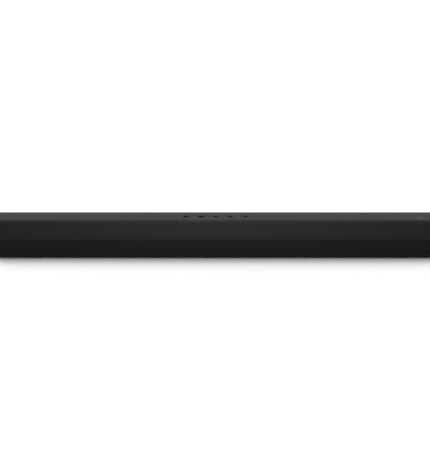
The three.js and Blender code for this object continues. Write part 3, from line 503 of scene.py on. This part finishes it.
CASE = (0.032, 0.032, 0.033)
LOOKS = {
    "case_plastic": moulded("case_plastic", CASE, 0.6, Specular_IOR_Level=0.4),
    "bay_plastic": moulded("bay_plastic", (0.015, 0.015, 0.016), 0.5, 0.6 * MM, 0.01 * MM),
    "inner_plastic": moulded("inner_plastic", (0.02, 0.02, 0.02), 0.55, 0.8 * MM, 0.01 * MM),
    "grille_fabric": knit("grille_fabric", (0.0165, 0.0165, 0.0172), 1.1 * MM),
    "button_plastic": moulded("button_plastic", (0.008, 0.008, 0.0084), 0.7, 0.3 * MM, 0.008 * MM,
                              Specular_IOR_Level=0.1),
    "badge": metal("badge", (0.24, 0.24, 0.245), 0.4, (0.08, 1, 1), 0.15 * MM),
    "rubber": moulded("rubber", (0.014, 0.014, 0.014), 0.85, 0.5 * MM, 0.04 * MM, 0.25,
                      Specular_IOR_Level=0.3),
    "zinc_steel": metal("zinc_steel", (0.55, 0.55, 0.53), 0.35, (1, 0.1, 1)),
    "black_steel": metal("black_steel", (0.03, 0.03, 0.032), 0.45, (1, 1, 1), 0.5 * MM, 0.2),
    "socket_steel": metal("socket_steel", (0.6, 0.6, 0.58), 0.3, (1, 0.12, 1)),
    "socket_plastic": moulded("socket_plastic", (0.012, 0.012, 0.012), 0.45, 0.5 * MM, 0.006 * MM),
    "shield_steel": metal("shield_steel", (0.55, 0.55, 0.55), 0.35, (0.1, 1, 1)),
    "heat_sink": metal("heat_sink", (0.5, 0.51, 0.52), 0.4, (1, 0.05, 1)),
    "ferrite": moulded("ferrite", (0.035, 0.034, 0.033), 0.8, 0.7 * MM, 0.05 * MM, 0.3),
    "spider_cloth": moulded("spider_cloth", (0.42, 0.3, 0.12), 0.85, 0.6 * MM, 0.08 * MM, 0.25),
    "coil_copper": striped("coil_copper", (0.6, 0.25, 0.1), (0.35, 0.12, 0.05), 0.35, 0.4 * MM, 1, 0.35, 1.0),
    "cone_paper": moulded("cone_paper", (0.02, 0.02, 0.02), 0.9, 1.2 * MM, 0.08 * MM, 0.4),
    "wire_plastic": moulded("wire_plastic", (0.02, 0.02, 0.02), 0.5, 1.0 * MM, 0.02 * MM),
    "ribbon_film": striped("ribbon_film", (0.6, 0.6, 0.58), (0.25, 0.25, 0.25), 0.4, 1.0 * MM, 0),
    "board_resin": circuit("board_resin", (0.01, 0.07, 0.03)),
    "chip_epoxy": moulded("chip_epoxy", (0.015, 0.015, 0.015), 0.6, 0.3 * MM, 0.02 * MM),
    "light_pipe": moulded("light_pipe", (0.75, 0.78, 0.8), 0.25, 2 * MM, 0.01 * MM, 0.04,
                          Transmission_Weight=0.7, IOR=1.49),
    "contact_gold": metal("contact_gold", (0.8, 0.55, 0.2), 0.3, (1, 0.2, 1)),
}


def add(obj, name, slot, *nodes, body="root", look=None):
    """Names a finished piece, gives it the material of its look or else of its slot, puts it in its body and
    hides the CAD nodes it replaces.
    """
    obj.name = name
    obj.data.name = name
    obj.data.materials.clear()
    obj.data.materials.append(LOOKS[look or slot])
    for face in obj.data.polygons:
        face.material_index = 0
    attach(obj, body)
    if nodes:
        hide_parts(*nodes)
    return obj


# ---------------------------------------------------------------- camera
def point_camera():
    """A long lens in front, looking slightly down, as in a catalogue picture."""
    elevation, distance = math.radians(10.3), 6.0
    aim = Vector((-1.3 * MM, 0, 29.8 * MM))
    back = Vector((0, -math.cos(elevation), math.sin(elevation)))
    data = bpy.data.cameras.new("camera")
    data.lens = 277.6
    data.sensor_width = 36
    camera = bpy.data.objects.new("camera", data)
    camera.location = aim + back * distance
    camera.rotation_euler = (-back).to_track_quat("-Z", "Y").to_euler()
    bpy.context.scene.collection.objects.link(camera)
    bpy.context.scene.camera = camera


point_camera()


# ---------------------------------------------------------------- case
def end_cap(name, side, node_name):
    """The section's plate, its outer edge rounded and its inner edge eased, with a rib behind it."""
    edge, ease, steps = 1.2 * MM, 0.3 * MM, 6
    rib_wall, rib_front, rib_foot = 1.8 * MM, -24 * MM, 0.5 * MM
    rib_from_rear, rib_from_edge = 3.7 * MM, 6.2 * MM
    rings = [(ease, CAP_INNER_X), (0, CAP_INNER_X + ease)]
    for k in range(steps + 1):
        angle = math.pi / 2 * k / steps
        rings.append((edge * (1 - math.cos(angle)), END_X - edge + edge * math.sin(angle)))

    def ring(distance, x):
        radii = [max(radius - distance, 0.2 * MM) for radius in SECTION_RADII]
        return filleted(inset(SECTION, distance), radii), side * x

    plate = loft(name, [ring(*r) for r in rings], "X")
    low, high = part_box(node_name)
    y0, y1 = rib_front, REAR_Y - rib_from_rear
    z0, z1 = BASE_Z + rib_from_edge, TOP_Z - rib_from_edge
    middle = ((y0 + y1) / 2, (z0 + z1) / 2)
    outer = moved(rounded(y1 - y0, z1 - z0, 2 * MM), *middle)
    inner = moved(rounded(y1 - y0 - 2 * rib_wall, z1 - z0 - 2 * rib_wall, 1 * MM), *middle)
    tip_x = low.x if side > 0 else high.x
    foot_x = side * (CAP_INNER_X + rib_foot)
    rib = loft("rib", [(outer, tip_x), (outer, foot_x), (inner, foot_x), (inner, tip_x)], "X", closed=True)
    join(plate, rib)
    smooth(plate, 32)
    add(plate, name, "case_plastic", node_name)


def top_cover():
    """The top plate, turned down behind the cloth and at the rear, with holes for the keys and the badge."""
    lip_wall, lip_height = 1.6 * MM, 5 * MM
    front, under, lip_z = COVER_LOW.y, TOP_Z - WALL, TOP_Z - lip_height
    skirt_z, inner_y = COVER_LOW.z, REAR_Y - WALL
    outline = filleted(
        [(front, lip_z), (front + lip_wall, lip_z), (front + lip_wall, under), (inner_y, under),
         (inner_y, skirt_z), (REAR_Y, skirt_z), (REAR_Y, TOP_Z), (front, TOP_Z)],
        [0, 0, 0.6 * MM, 0.6 * MM, 0, 0.25 * MM, REAR_RADIUS, 0.5 * MM],
        8,
    )
    cover = prism("cover", outline, "X", -BODY_END, BODY_END)
    tools = []
    for key in KEYS:
        hole = pill(key["width"] + 2 * KEY_SLIT, key["depth"] + 2 * KEY_SLIT)
        place = middle_of(key["low"], key["high"])
        tools.append(prism("hole", moved(hole, *place), "Z", under - MM, TOP_Z + MM))
    seat = pill_round(*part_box("badge_inlay"), GAP)
    tools.append(prism("seat", seat, "Z", TOP_Z - BADGE_POCKET, TOP_Z + MM))
    cut(cover, *tools)
    soften(cover, 0.2 * MM, 3, 40)
    add(cover, "cover_shell", "case_plastic", "top_cover")


def bottom_case():
    """The floor with its chamfered rear corner, its front lip, and the seats of the feet and screws."""
    head_hole, shank_hole, hole_top = 3.3 * MM, 1.7 * MM, 8 * MM
    floor, inner_y = BASE_Z + WALL, REAR_Y - WALL
    lip_top, lip_back = CLOTH_LOW.z - GAP, BAFFLE_FRONT_Y - GAP
    outline = [TOE, UNDER_TOE, *REAR_CORNER, (REAR_Y, SKIRT_TOP), (inner_y, SKIRT_TOP), (inner_y, floor),
               (lip_back, floor), (lip_back, lip_top), level_with(TOE, RIDGE, lip_top)]
    case = prism("case", outline, "X", -BODY_END, BODY_END)
    tools = []
    for foot in FEET:
        seat = pill_round(*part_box(foot), GAP)
        tools.append(prism("seat", seat, "Z", 0, BASE_Z + FOOT_POCKET))
    for screw in SCREWS:
        place = middle_of(*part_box(screw))
        tools.append(prism("hole", circle(head_hole, 40, place), "Z", 0, floor - 10 * SLIVER))
        tools.append(prism("hole", circle(shank_hole, 24, place), "Z", BASE_Z + MM, hole_top))
    cut(case, *tools)
    soften(case, 0.25 * MM, 3, 40)
    add(case, "case_shell", "case_plastic", "bottom_case")


def rear_panel():
    """The rear wall with the bay's window, two rows of vents, and a pocket behind each keyhole."""
    vents, vent_from, vent_pitch, vent_width, vent_height = 10, 84 * MM, 7 * MM, 2.4 * MM, 18 * MM
    pocket_width, pocket_height, pocket_depth = 12.5 * MM, 21.5 * MM, 9.5 * MM
    through = 5 * MM
    middle_z = (PANEL_LOW.z + PANEL_HIGH.z) / 2
    panel = block("panel", (-BODY_END, REAR_Y - WALL, PANEL_LOW.z), (BODY_END, REAR_Y, PANEL_HIGH.z))
    bosses, tools = [], []
    for plate in ("left_keyhole_plate", "right_keyhole_plate"):
        low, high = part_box(plate)
        place = (low + high) / 2
        boss = moved(rounded(PLATE_WIDTH, PLATE_HEIGHT, 4 * MM), place.x, place.z)
        bosses.append(prism("boss", boss, "Y", PANEL_LOW.y, REAR_Y - WALL + 0.5 * MM))
        seat = moved(rounded(PLATE_WIDTH + 2 * GAP, PLATE_HEIGHT + 2 * GAP, 3.3 * MM), place.x, place.z)
        tools.append(prism("seat", seat, "Y", REAR_Y - PLATE_THICKNESS - GAP, REAR_Y + MM))
        pocket = moved(pill(pocket_width, pocket_height), place.x, place.z)
        tools.append(prism("pocket", pocket, "Y", REAR_Y - pocket_depth, REAR_Y - PLATE_THICKNESS))
    bay_width, bay_height = BAY_WIDTH + 2 * BAY_WALL, BAY_HEIGHT + 2 * BAY_WALL
    window = moved(rounded(bay_width + 2 * GAP, bay_height + 2 * GAP, 2.5 * MM), 0, BAY_MIDDLE_Z)
    tools.append(prism("window", window, "Y", REAR_Y - through, REAR_Y + MM))
    for i in range(vents):
        for side in (-1, 1):
            slot = moved(pill(vent_width, vent_height), side * (vent_from + vent_pitch * i), middle_z)
            tools.append(prism("vent", slot, "Y", REAR_Y - through, REAR_Y + MM))
    join(panel, *bosses)
    cut(panel, *tools)
    soften(panel, 0.25 * MM, 3, 40)
    add(panel, "back_shell", "case_plastic", "rear_panel")


def connector_bay():
    """The tray for the plugs: a moulded pocket with a flange behind the panel, cut out round each socket."""
    back_y, rim_y = REAR_Y - BAY_DEPTH, REAR_Y - WALL - GAP
    width, height = BAY_WIDTH + 2 * BAY_WALL, BAY_HEIGHT + 2 * BAY_WALL
    outside = moved(rounded(width, height, 2.2 * MM), 0, BAY_MIDDLE_Z)
    hollow = moved(rounded(BAY_WIDTH, BAY_HEIGHT, 1.6 * MM), 0, BAY_MIDDLE_Z)
    rim = moved(rounded(width + 2 * BAY_RIM, height + BAY_RIM, 3 * MM), 0, BAY_MIDDLE_Z + BAY_RIM / 2)
    tray = prism("tray", outside, "Y", BAY_LOW.y, BAY_HIGH.y)
    holes = []
    for socket in SOCKETS:
        low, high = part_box(socket)
        near = (low.x - GAP, BAY_LOW.y - MM, low.z - GAP)
        far = (high.x + GAP, back_y + MM, high.z + GAP)
        holes.append(block("hole", near, far))
    join(tray, prism("rim", rim, "Y", rim_y - BAY_WALL, rim_y))
    cut(tray, prism("hollow", hollow, "Y", back_y, REAR_Y + MM))
    cut(tray, *holes)
    soften(tray, 0.3 * MM, 3, 40)
    add(tray, "bay_tray", "bay_plastic", "connector_bay")


# ---------------------------------------------------------------- cloth
def cloth_section(bite):
    """The cloth's closed section, (Y, Z), with its outer face set in by the bite."""
    thickness, hem_radius = 0.7 * MM, 0.28 * MM

    def face(distance):
        toe, ridge, shoulder, brow = reversed(inset(SECTION, distance)[-4:])
        lower, upper = level_with(toe, ridge, CLOTH_LOW.z), level_with(shoulder, brow, CLOTH_HIGH.z)
        return [lower, ridge, shoulder, upper]

    corners = [*face(bite), *reversed(face(thickness))]
    radii = [hem_radius, 5 * MM, 1.8 * MM, hem_radius, hem_radius, 1.1 * MM, 4.3 * MM, hem_radius]
    return filleted(corners, radii, 8)[::-1]


def lay_out_cloth(mesh, rings):
    """Gives the cloth two UV maps: the knit's, in metres along and round it, and OFBake, which lays the cloth
    out in tiles.
    """
    tiles, across, margin = 8, 3, 0.02
    around = rings[len(rings) // 2][0]
    lengths = [0.0]
    for i, point in enumerate(around):
        lengths.append(lengths[-1] + math.dist(point, around[(i + 1) % len(around)]))
    total = lengths[-1]

    def spot(x, y, z):
        return round(x * 1e5), round(y * 1e5), round(z * 1e5)

    numbers = {spot(x, u, v): i for outline, x in rings for i, (u, v) in enumerate(outline)}
    weave = mesh.uv_layers.new(name="cloth")
    baked = mesh.uv_layers.new(name="OFBake")
    for face in mesh.polygons:
        corners = [mesh.vertices[v].co for v in face.vertices]
        index = [numbers.get(spot(*corner), 0) for corner in corners]
        wraps = max(index) - min(index) > len(around) / 2
        middle = sum(corner.x for corner in corners) / len(corners)
        tile = min(tiles - 1, int((middle / BODY_END + 1) / 2 * tiles))
        for loop, corner, i in zip(face.loop_indices, corners, index):
            s = total if wraps and i == 0 else lengths[i]
            weave.data[loop].uv = (corner.x + BODY_END, s)
            along = min(1, max(0, (corner.x / BODY_END + 1) / 2 * tiles - tile))
            baked.data[loop].uv = (
                (tile % across + margin + (1 - 2 * margin) * along) / across,
                (tile // across + margin + (1 - 2 * margin) * s / total) / across,
            )


def grille_cloth():
    """The knit cloth, stretched over the frame: one closed sheet, rounded in at its ends and hems."""
    columns = 176
    # Each end ring's bite, and its distance from the end.
    ends = [(0.35 * MM, 0), (0.1 * MM, 0.2 * MM), (0, 0.5 * MM)]
    rings = [(cloth_section(bite), -BODY_END + distance) for bite, distance in ends]
    rings += [(cloth_section(0), (-1 + 2 * i / columns) * BODY_END) for i in range(1, columns)]
    rings += [(cloth_section(bite), BODY_END - distance) for bite, distance in reversed(ends)]
    cloth = loft("cloth", rings, "X")
    lay_out_cloth(cloth.data, rings)
    smooth(cloth, 50)
    add(cloth, "knit_cloth", "grille_fabric", "grille_fabric")


# ---------------------------------------------------------------- keys
def bar(name, start, end, width, low, high):
    """A round-ended stroke between two points in plan, for an icon."""
    a, b = Vector(start), Vector(end)
    along = (b - a).normalized()
    side = Vector((-along.y, along.x))
    steps = 8
    outline = []
    for centre, way in ((b, 1), (a, -1)):
        for k in range(steps + 1):
            angle = math.pi * (k / steps - 0.5)
            outward = along * math.cos(angle) + side * math.sin(angle)
            outline.append(tuple(centre + way * outward * width / 2))
    return prism(name, outline, "Z", low, high)


def arc_stroke(name, centre, radius, first, last, width, low, high):
    """A curved stroke about a centre in plan, its angles in degrees from +X."""
    steps = 20
    angles = [math.radians(first + (last - first) * i / steps) for i in range(steps + 1)]

    def arc(reach, bends):
        return [(centre[0] + reach * math.cos(a), centre[1] + reach * math.sin(a)) for a in bends]

    outline = arc(radius + width / 2, angles) + arc(radius - width / 2, reversed(angles))
    return prism(name, outline, "Z", low, high)


def icon(name, x, y, low, high):
    """The sunk strokes of a plain icon: power, source, less, more or wireless."""
    w = 0.45 * MM

    def stroke(x0, y0, x1, y1):
        return bar("stroke", (x + x0 * MM, y + y0 * MM), (x + x1 * MM, y + y1 * MM), w, low, high)

    def curve(radius, first, last, dx=0.0, dy=0.0):
        return arc_stroke("stroke", (x + dx * MM, y + dy * MM), radius * MM, first, last, w, low, high)

    return {
        "power": lambda: [curve(1.5, 120, 420), stroke(0, 0.5, 0, 1.9)],
        "source": lambda: [
            stroke(-1.2, 1.4, 1.9, 1.4), stroke(1.9, 1.4, 1.9, -1.4), stroke(1.9, -1.4, -1.2, -1.4),
            stroke(-2.6, 0, 0.7, 0), stroke(0.7, 0, -0.2, 0.8), stroke(0.7, 0, -0.2, -0.8),
        ],
        "volume_down": lambda: [stroke(-1.3, 0, 1.3, 0)],
        "volume_up": lambda: [stroke(-1.3, 0, 1.3, 0), stroke(0, -1.3, 0, 1.3)],
        "pairing": lambda: [curve(1.1, -50, 50, -1.0), curve(2.1, -50, 50, -1.0), curve(0.3, 0, 359, -1.0)],
    }[name]()


def pill_rings(place, width, depth, profile):
    """A loft's rings: pills about a place, wider and deeper by each step's growth, at each step's height."""
    return [(moved(pill(width + grow, depth + grow), place.x, place.y), z) for grow, z in profile]


def key_cap(key):
    """A push button: its stem and flange below, a rounded crown above, and its icon sunk into the crown."""
    low, high, width, depth = key["low"], key["high"], key["width"], key["depth"]
    middle = (low + high) / 2
    flange, flange_top = 0.9 * MM, TOP_Z - WALL - GAP
    stem_width, sunk = 3 * MM, 0.12 * MM
    edge, dome, steps = 0.6 * MM, 0.12 * MM, 6
    crown = high.z - dome
    profile = [(2 * KEY_FLANGE, flange_top - flange), (2 * KEY_FLANGE, flange_top), (0, flange_top)]
    for k in range(steps + 1):
        angle = math.pi / 2 * k / steps
        profile.append((-2 * edge * (1 - math.cos(angle)), crown - edge + edge * math.sin(angle)))
    for share in (0.3, 0.6, 0.8):
        profile.append((-2 * edge - share * (depth - 2 * edge), crown + dome * (1 - (1 - share) ** 2)))
    stem = pill_rings(middle, stem_width, stem_width, [(0, low.z), (0, flange_top - flange)])
    cap = loft("cap", stem + pill_rings(middle, width, depth, profile))
    strokes = icon(key["name"], middle.x, middle.y, crown - sunk, high.z + MM)
    join(strokes[0], *strokes[1:])
    cut(cap, strokes[0])
    smooth(cap, 28)
    add(cap, f"{key['name']}_key", "button_plastic", f"{key['name']}_button", body=f"{key['name']}_button")


# ---------------------------------------------------------------- small outside pieces
def badge():
    """A blank oval inlay with a dished middle."""
    low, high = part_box("badge_inlay")
    middle, size, top = (low + high) / 2, high - low, high.z
    rim = [(0, low.z), (0, top - 0.25 * MM), (-0.15 * MM, top - 0.08 * MM), (-0.5 * MM, top)]
    dish = [(-1.1 * MM, top), (-1.5 * MM, top - 0.12 * MM), (-3 * MM, top - 0.15 * MM)]
    inlay = loft("inlay", pill_rings(middle, size.x, size.y, rim + dish))
    smooth(inlay, 40)
    add(inlay, "badge_plate", "badge", "badge_inlay")


def rubber_foot(index, node_name):
    """A pad with a rounded edge and grip grooves across its sole."""
    low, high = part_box(node_name)
    middle, size = (low + high) / 2, high - low
    edge, steps = 0.7 * MM, 5
    groove_width, groove_depth, groove_pitch, grooves_each_way = 0.8 * MM, 0.35 * MM, 3 * MM, 4
    profile = []
    for k in range(steps + 1):
        angle = math.pi / 2 * k / steps
        profile.append((-2 * edge * (1 - math.sin(angle)), low.z + edge * (1 - math.cos(angle))))
    profile.append((0, high.z))
    pad = loft("pad", pill_rings(middle, size.x, size.y, profile))
    grooves = []
    for i in range(-grooves_each_way, grooves_each_way + 1):
        x = middle.x + i * groove_pitch
        near = (x - groove_width / 2, low.y - MM, -MM)
        far = (x + groove_width / 2, high.y + MM, groove_depth)
        grooves.append(block("groove", near, far))
    cut(pad, *grooves)
    smooth(pad, 35)
    add(pad, f"foot_pad_{index}", "rubber", node_name)


def case_screw(index, node_name):
    """A pan-head screw, head down, with a cross recess and a threaded shank."""
    low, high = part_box(node_name)
    x, y = middle_of(low, high)
    head, shank, top = 3 * MM, 1.4 * MM, low.z + 1.6 * MM
    pitch, point = 0.9 * MM, 1.5 * MM
    wing_length, wing_width, wing_depth = 1.6 * MM, 0.4 * MM, 1.1 * MM
    profile = [(1.6 * MM, low.z), (2.3 * MM, low.z + 0.12 * MM), (2.75 * MM, low.z + 0.4 * MM),
               (head, low.z + 0.85 * MM), (head, top), (shank, top)]
    z = top + pitch
    while z < high.z - point:
        profile += [(shank * 0.75, z - pitch / 2), (shank, z)]
        z += pitch
    profile += [(shank * 0.7, high.z - MM), (0.3 * MM, high.z)]
    body = loft("screw", [(circle(radius, 32, (x, y)), height) for radius, height in profile])
    wings = [block("wing", (x - a, y - b, 0), (x + a, y + b, low.z + wing_depth))
             for a, b in ((wing_length, wing_width), (wing_width, wing_length))]
    join(wings[0], wings[1])
    cut(body, wings[0])
    smooth(body, 35)
    add(body, f"screw_{index}", "black_steel", node_name)


def keyhole_plate(side, node_name):
    """A steel plate with a keyhole: the round entry, and the slot that the wall screw's neck slides up."""
    entry_radius, slot_width, rise = 4.75 * MM, 4.6 * MM, 9 * MM
    low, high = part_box(node_name)
    place = (low + high) / 2
    plate_outline = moved(rounded(PLATE_WIDTH, PLATE_HEIGHT, 3 * MM), place.x, place.z)
    entry_outline = circle(entry_radius, 48, (place.x, place.z - rise / 2))
    slot_outline = moved(pill(slot_width, rise + slot_width, 12), place.x, place.z)
    plate = prism("plate", plate_outline, "Y", low.y, high.y)
    entry = prism("entry", entry_outline, "Y", low.y - MM, high.y + MM)
    slot = prism("slot", slot_outline, "Y", low.y - MM, high.y + MM)
    join(entry, slot)
    cut(plate, entry)
    soften(plate, 0.25 * MM, 3, 40)
    add(plate, f"{side}_hanger", "zinc_steel", node_name)


def cuboid(name, x, y, z):
    """A block from its lowest and highest X, Y and Z, in millimetres."""
    return block(name, (x[0] * MM, y[0] * MM, z[0] * MM), (x[1] * MM, y[1] * MM, z[1] * MM))


def about(middle, width):
    return middle - width / 2, middle + width / 2


def socket_frame(node_name):
    """A socket's middle in X, its foot, height, back and front, in millimetres."""
    low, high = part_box(node_name)
    return (low.x + high.x) / 2 / MM, low.z / MM, (high.z - low.z) / MM, low.y / MM, high.y / MM


def contacts(name, x, pitch, count, y, z):
    """A row of flat gold contacts."""
    first = x - pitch * (count - 1) / 2
    row = [cuboid("contact", about(first + i * pitch, pitch * 0.5), y, z) for i in range(count)]
    return add(merged(name, row), name, "socket_steel", look="contact_gold")


def video_socket():
    """A steel shell with its lower corners cut off, round a tongue with contacts above and below."""
    half_width, cut_off, shell_wall = 7.6, 1.3, 0.45
    tongue_width, tongue_thickness, spring_width, spring_place = 11.2, 1.1, 1.6, 3.2
    x, foot, height, back, front = socket_frame("video_socket")

    def outline(wall):
        side, sole = half_width - wall, half_width - cut_off - wall / 2
        corners = [(-side, wall + cut_off), (-sole, wall), (sole, wall), (side, wall + cut_off),
                   (side, height - wall), (-side, height - wall)]
        scaled = [((x + u) * MM, (foot + v) * MM) for u, v in corners]
        return filleted(scaled, [0.5 * MM] * 6, 4)

    shell = prism("shell", outline(0), "Y", back * MM, front * MM)
    mouth = prism("mouth", outline(shell_wall), "Y", (back + 4) * MM, (front + 1) * MM)
    spring_length, across_top = (front - 7, front - 2.4), about(foot + height, 2)
    springs = [cuboid("spring", about(x + side * spring_place, spring_width), spring_length, across_top)
               for side in (-1, 1)]
    cut(shell, mouth)
    cut(shell, *springs)
    add(soften(shell, 0.12 * MM, 2), "video_shell", "socket_steel", "video_socket")
    middle = foot + height / 2
    tongue_height = about(middle, tongue_thickness)
    tongue = cuboid("tongue", about(x, tongue_width), (back + 3.5, front - 1.5), tongue_height)
    add(soften(tongue, 0.2 * MM, 2), "video_tongue", "socket_plastic")
    contacts("video_contacts_upper", x, 1.0, 10, (back + 5, front - 1.9), (middle + 0.5, middle + 0.6))
    contacts("video_contacts_lower", x, 1.0, 9, (back + 5, front - 1.9), (middle - 0.6, middle - 0.5))


def data_socket():
    """A steel shell round a tongue that hangs from its top, with four contacts under it."""
    shell_width, shell_wall, tongue_width, spring_width, spring_place = 13.2, 0.4, 10.6, 1.8, 3
    x, foot, height, back, front = socket_frame("data_socket")

    def outline(wall):
        ring = rounded((shell_width - 2 * wall) * MM, (height - 2 * wall) * MM, 0.6 * MM, 4)
        return moved(ring, x * MM, (foot + height / 2) * MM)

    shell = prism("shell", outline(0), "Y", back * MM, front * MM)
    mouth = prism("mouth", outline(shell_wall), "Y", (back + 3) * MM, (front + 1) * MM)
    spring_length = (front - 7, front - 2.2)
    springs = [cuboid("spring", about(x + side * spring_place, spring_width), spring_length, about(z, 2))
               for side in (-1, 1) for z in (foot, foot + height)]
    cut(shell, mouth)
    cut(shell, *springs)
    add(soften(shell, 0.12 * MM, 2), "data_shell", "socket_steel", "data_socket")
    under = foot + height - 2.6
    tongue = cuboid("tongue", about(x, tongue_width), (back + 2.5, front - 1), (under, foot + height - 0.8))
    add(soften(tongue, 0.2 * MM, 2), "data_tongue", "socket_plastic")
    contacts("data_contacts", x, 2.3, 4, (back + 4, front - 1.6), (under - 0.1, under + 0.05))


def optical_socket():
    """A square bore with a flared mouth, and the flap that closes it on its own body."""
    body_width, bore_width, mouth_width = 10, 8, 8.7
    grip_width, grip_height, thickness = 3.6 * MM, 3 * MM, 0.3 * MM
    x, foot, height, back, front = socket_frame("optical_socket")
    body = cuboid("body", about(x, body_width), (back, front), (foot, foot + height))
    profile = [(bore_width, front - 10), (bore_width, front - 0.3),
               (mouth_width, front), (mouth_width, front + 1)]
    bore = [(moved(rounded(width * MM, width * MM, 0.7 * MM, 4), x * MM, (foot + height / 2) * MM), y * MM)
            for width, y in profile]
    cut(body, loft("bore", bore, "Y"))
    add(soften(body, 0.15 * MM, 2), "optical_body", "socket_plastic", "optical_socket")
    low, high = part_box("optical_shutter")
    middle = (low + high) / 2
    flap_outline = moved(rounded(high.x - low.x, high.z - low.z, 0.5 * MM, 4), middle.x, middle.z)
    grip_outline = moved(rounded(grip_width, grip_height, 0.5 * MM, 4), middle.x, middle.z)
    flap = prism("flap", flap_outline, "Y", low.y, high.y - thickness)
    grip = prism("grip", grip_outline, "Y", low.y + thickness, high.y)
    join(flap, grip)
    add(soften(flap, 0.15 * MM, 2), "shutter_flap", "socket_plastic", "optical_shutter", body="shutter")


def power_jack():
    """A round bore with a flared mouth and a centre pin."""
    body_width, bore_radius, mouth_radius, pin_radius = 9.4, 3.2, 3.6, 1
    x, foot, height, back, front = socket_frame("power_jack")
    centre = (x * MM, (foot + height / 2) * MM)

    def rings(profile, count):
        return [(circle(radius * MM, count, centre), y * MM) for radius, y in profile]

    body = cuboid("body", about(x, body_width), (back, front), (foot, foot + height))
    bore = [(bore_radius, front - 9), (bore_radius, front - 0.4),
            (mouth_radius, front), (mouth_radius, front + 1)]
    cut(body, loft("bore", rings(bore, 40), "Y"))
    add(soften(body, 0.2 * MM, 2), "jack_body", "socket_plastic", "power_jack")
    pin = [(pin_radius, front - 9.5), (pin_radius, front - 1), (0.85, front - 0.75), (0.45, front - 0.6)]
    add(smooth(loft("pin", rings(pin, 24), "Y")), "jack_pin", "socket_steel")


top_cover()
bottom_case()
rear_panel()
connector_bay()
end_cap("left_cap", -1, "left_end_cap")
end_cap("right_cap", 1, "right_end_cap")
video_socket()
data_socket()
optical_socket()
power_jack()
grille_cloth()
for key in KEYS:
    key_cap(key)
badge()
for i, foot_name in enumerate(FEET, 1):
    rubber_foot(i, foot_name)
for i, screw_name in enumerate(SCREWS, 1):
    case_screw(i, screw_name)
for side in ("left", "right"):
    keyhole_plate(side, f"{side}_keyhole_plate")

# ---------------------------------------------------------------- parts kept as the CAD model has them
KEPT = {
    "grille_frame": "inner_plastic", "front_baffle": "inner_plastic", "button_guide": "inner_plastic",
    "button_board": "board_resin", "main_board": "board_resin", "status_board": "board_resin",
    "ribbon_cable": "ribbon_film", "heat_sink": "heat_sink", "amplifier_chip": "chip_epoxy",
    "wireless_module": "shield_steel", "remote_receiver": "chip_epoxy", "light_pipe": "light_pipe",
}
for side in ("left", "right"):
    KEPT |= {
        f"{side}_speaker_wire": "wire_plastic", f"{side}_speaker_basket": "black_steel",
        f"{side}_speaker_magnet": "ferrite", f"{side}_speaker_yoke": "zinc_steel",
        f"{side}_speaker_spider": "spider_cloth", f"{side}_voice_coil": "coil_copper",
        f"{side}_speaker_cone": "cone_paper", f"{side}_dust_cap": "cone_paper",
        f"{side}_speaker_surround": "rubber",
    }
for kept_name, look_name in KEPT.items():
    materials = frame["nodes"][kept_name].data.materials
    materials.clear()
    materials.append(LOOKS[look_name])


# ---------------------------------------------------------------- floor and light
def pale_floor():
    """A wide pale floor, which sends no light back up at the bar."""
    half = 60
    corners = [(-half, -half, 0), (half, -half, 0), (half, half, 0), (-half, half, 0)]
    floor = new_object("floor", corners, [(0, 1, 2, 3)])
    floor.data.materials.append(surface("floor", (0.9, 0.9, 0.9), 0.9, Specular_IOR_Level=0.0))
    floor.visible_diffuse = False
    return floor


def surroundings():
    """Light from above the horizon only, so nothing is lit from under the floor, and more of it in front."""
    even_level, front_level = 0.275, 0.48
    world = bpy.data.worlds.new("studio")
    world.use_nodes = True
    direction = node(world, "TexCoord")
    axes = node(world, "SeparateXYZ")
    feed(world, direction.outputs["Generated"], axes.inputs["Vector"])
    above = maths(world, "GREATER_THAN", axes.outputs["Z"], 0.0)
    front = maths(world, "MAXIMUM", maths(world, "MULTIPLY", axes.outputs["Y"], -1.0), 0.0)
    level = maths(world, "ADD", maths(world, "MULTIPLY", front, front_level), even_level)
    background = world.node_tree.nodes["Background"]
    feed(world, maths(world, "MULTIPLY", above, level), background.inputs["Color"])
    bpy.context.scene.world = world


def rear_sun(name, height, spread, strength):
    """A sun behind the bar. Its height and its spread are in degrees."""
    sun = bpy.data.lights.new(name, "SUN")
    sun.energy = strength
    sun.angle = math.radians(spread)
    lamp = bpy.data.objects.new(name, sun)
    slope = math.radians(height)
    lamp.rotation_euler = Vector((0, -math.cos(slope), -math.sin(slope))).to_track_quat("-Z", "Y").to_euler()
    lamp.visible_glossy = False
    bpy.context.scene.collection.objects.link(lamp)


def front_lamp(floor):
    """A soft lamp for the cloth and the case, which is kept off the floor and off the pieces on the top."""
    slope, distance, aim_z = math.radians(58), 0.5, 40 * MM
    key = bpy.data.lights.new("front_key", "AREA")
    key.shape = "RECTANGLE"
    key.size = 0.3
    key.size_y = 0.2
    key.energy = 2.15
    lamp = bpy.data.objects.new("front_key", key)
    towards = Vector((0, -math.cos(slope), math.sin(slope)))
    lamp.location = Vector((0, FRONT_Y, aim_z)) + towards * distance
    lamp.rotation_euler = (-towards).to_track_quat("-Z", "Y").to_euler()
    bpy.context.scene.collection.objects.link(lamp)

    unlit = bpy.data.collections.new("unlit")
    for piece in bpy.context.scene.objects:
        on_top = piece.name.endswith("_key") or piece.name in ("cover_shell", "badge_plate")
        if piece == floor or (on_top and piece != lamp):
            unlit.objects.link(piece)
    lamp.light_linking.receiver_collection = unlit
    for entry in unlit.collection_objects:
        entry.light_linking.link_state = "EXCLUDE"


bpy.context.scene.view_settings.view_transform = "Standard"
stage_floor = pale_floor()
surroundings()
# A long soft shadow in front: half the light comes from nearly overhead, and half from lower behind.
rear_sun("rear_high", 72, 50, 1.25)
rear_sun("rear_low", 38, 50, 2.1)
front_lamp(stage_floor)
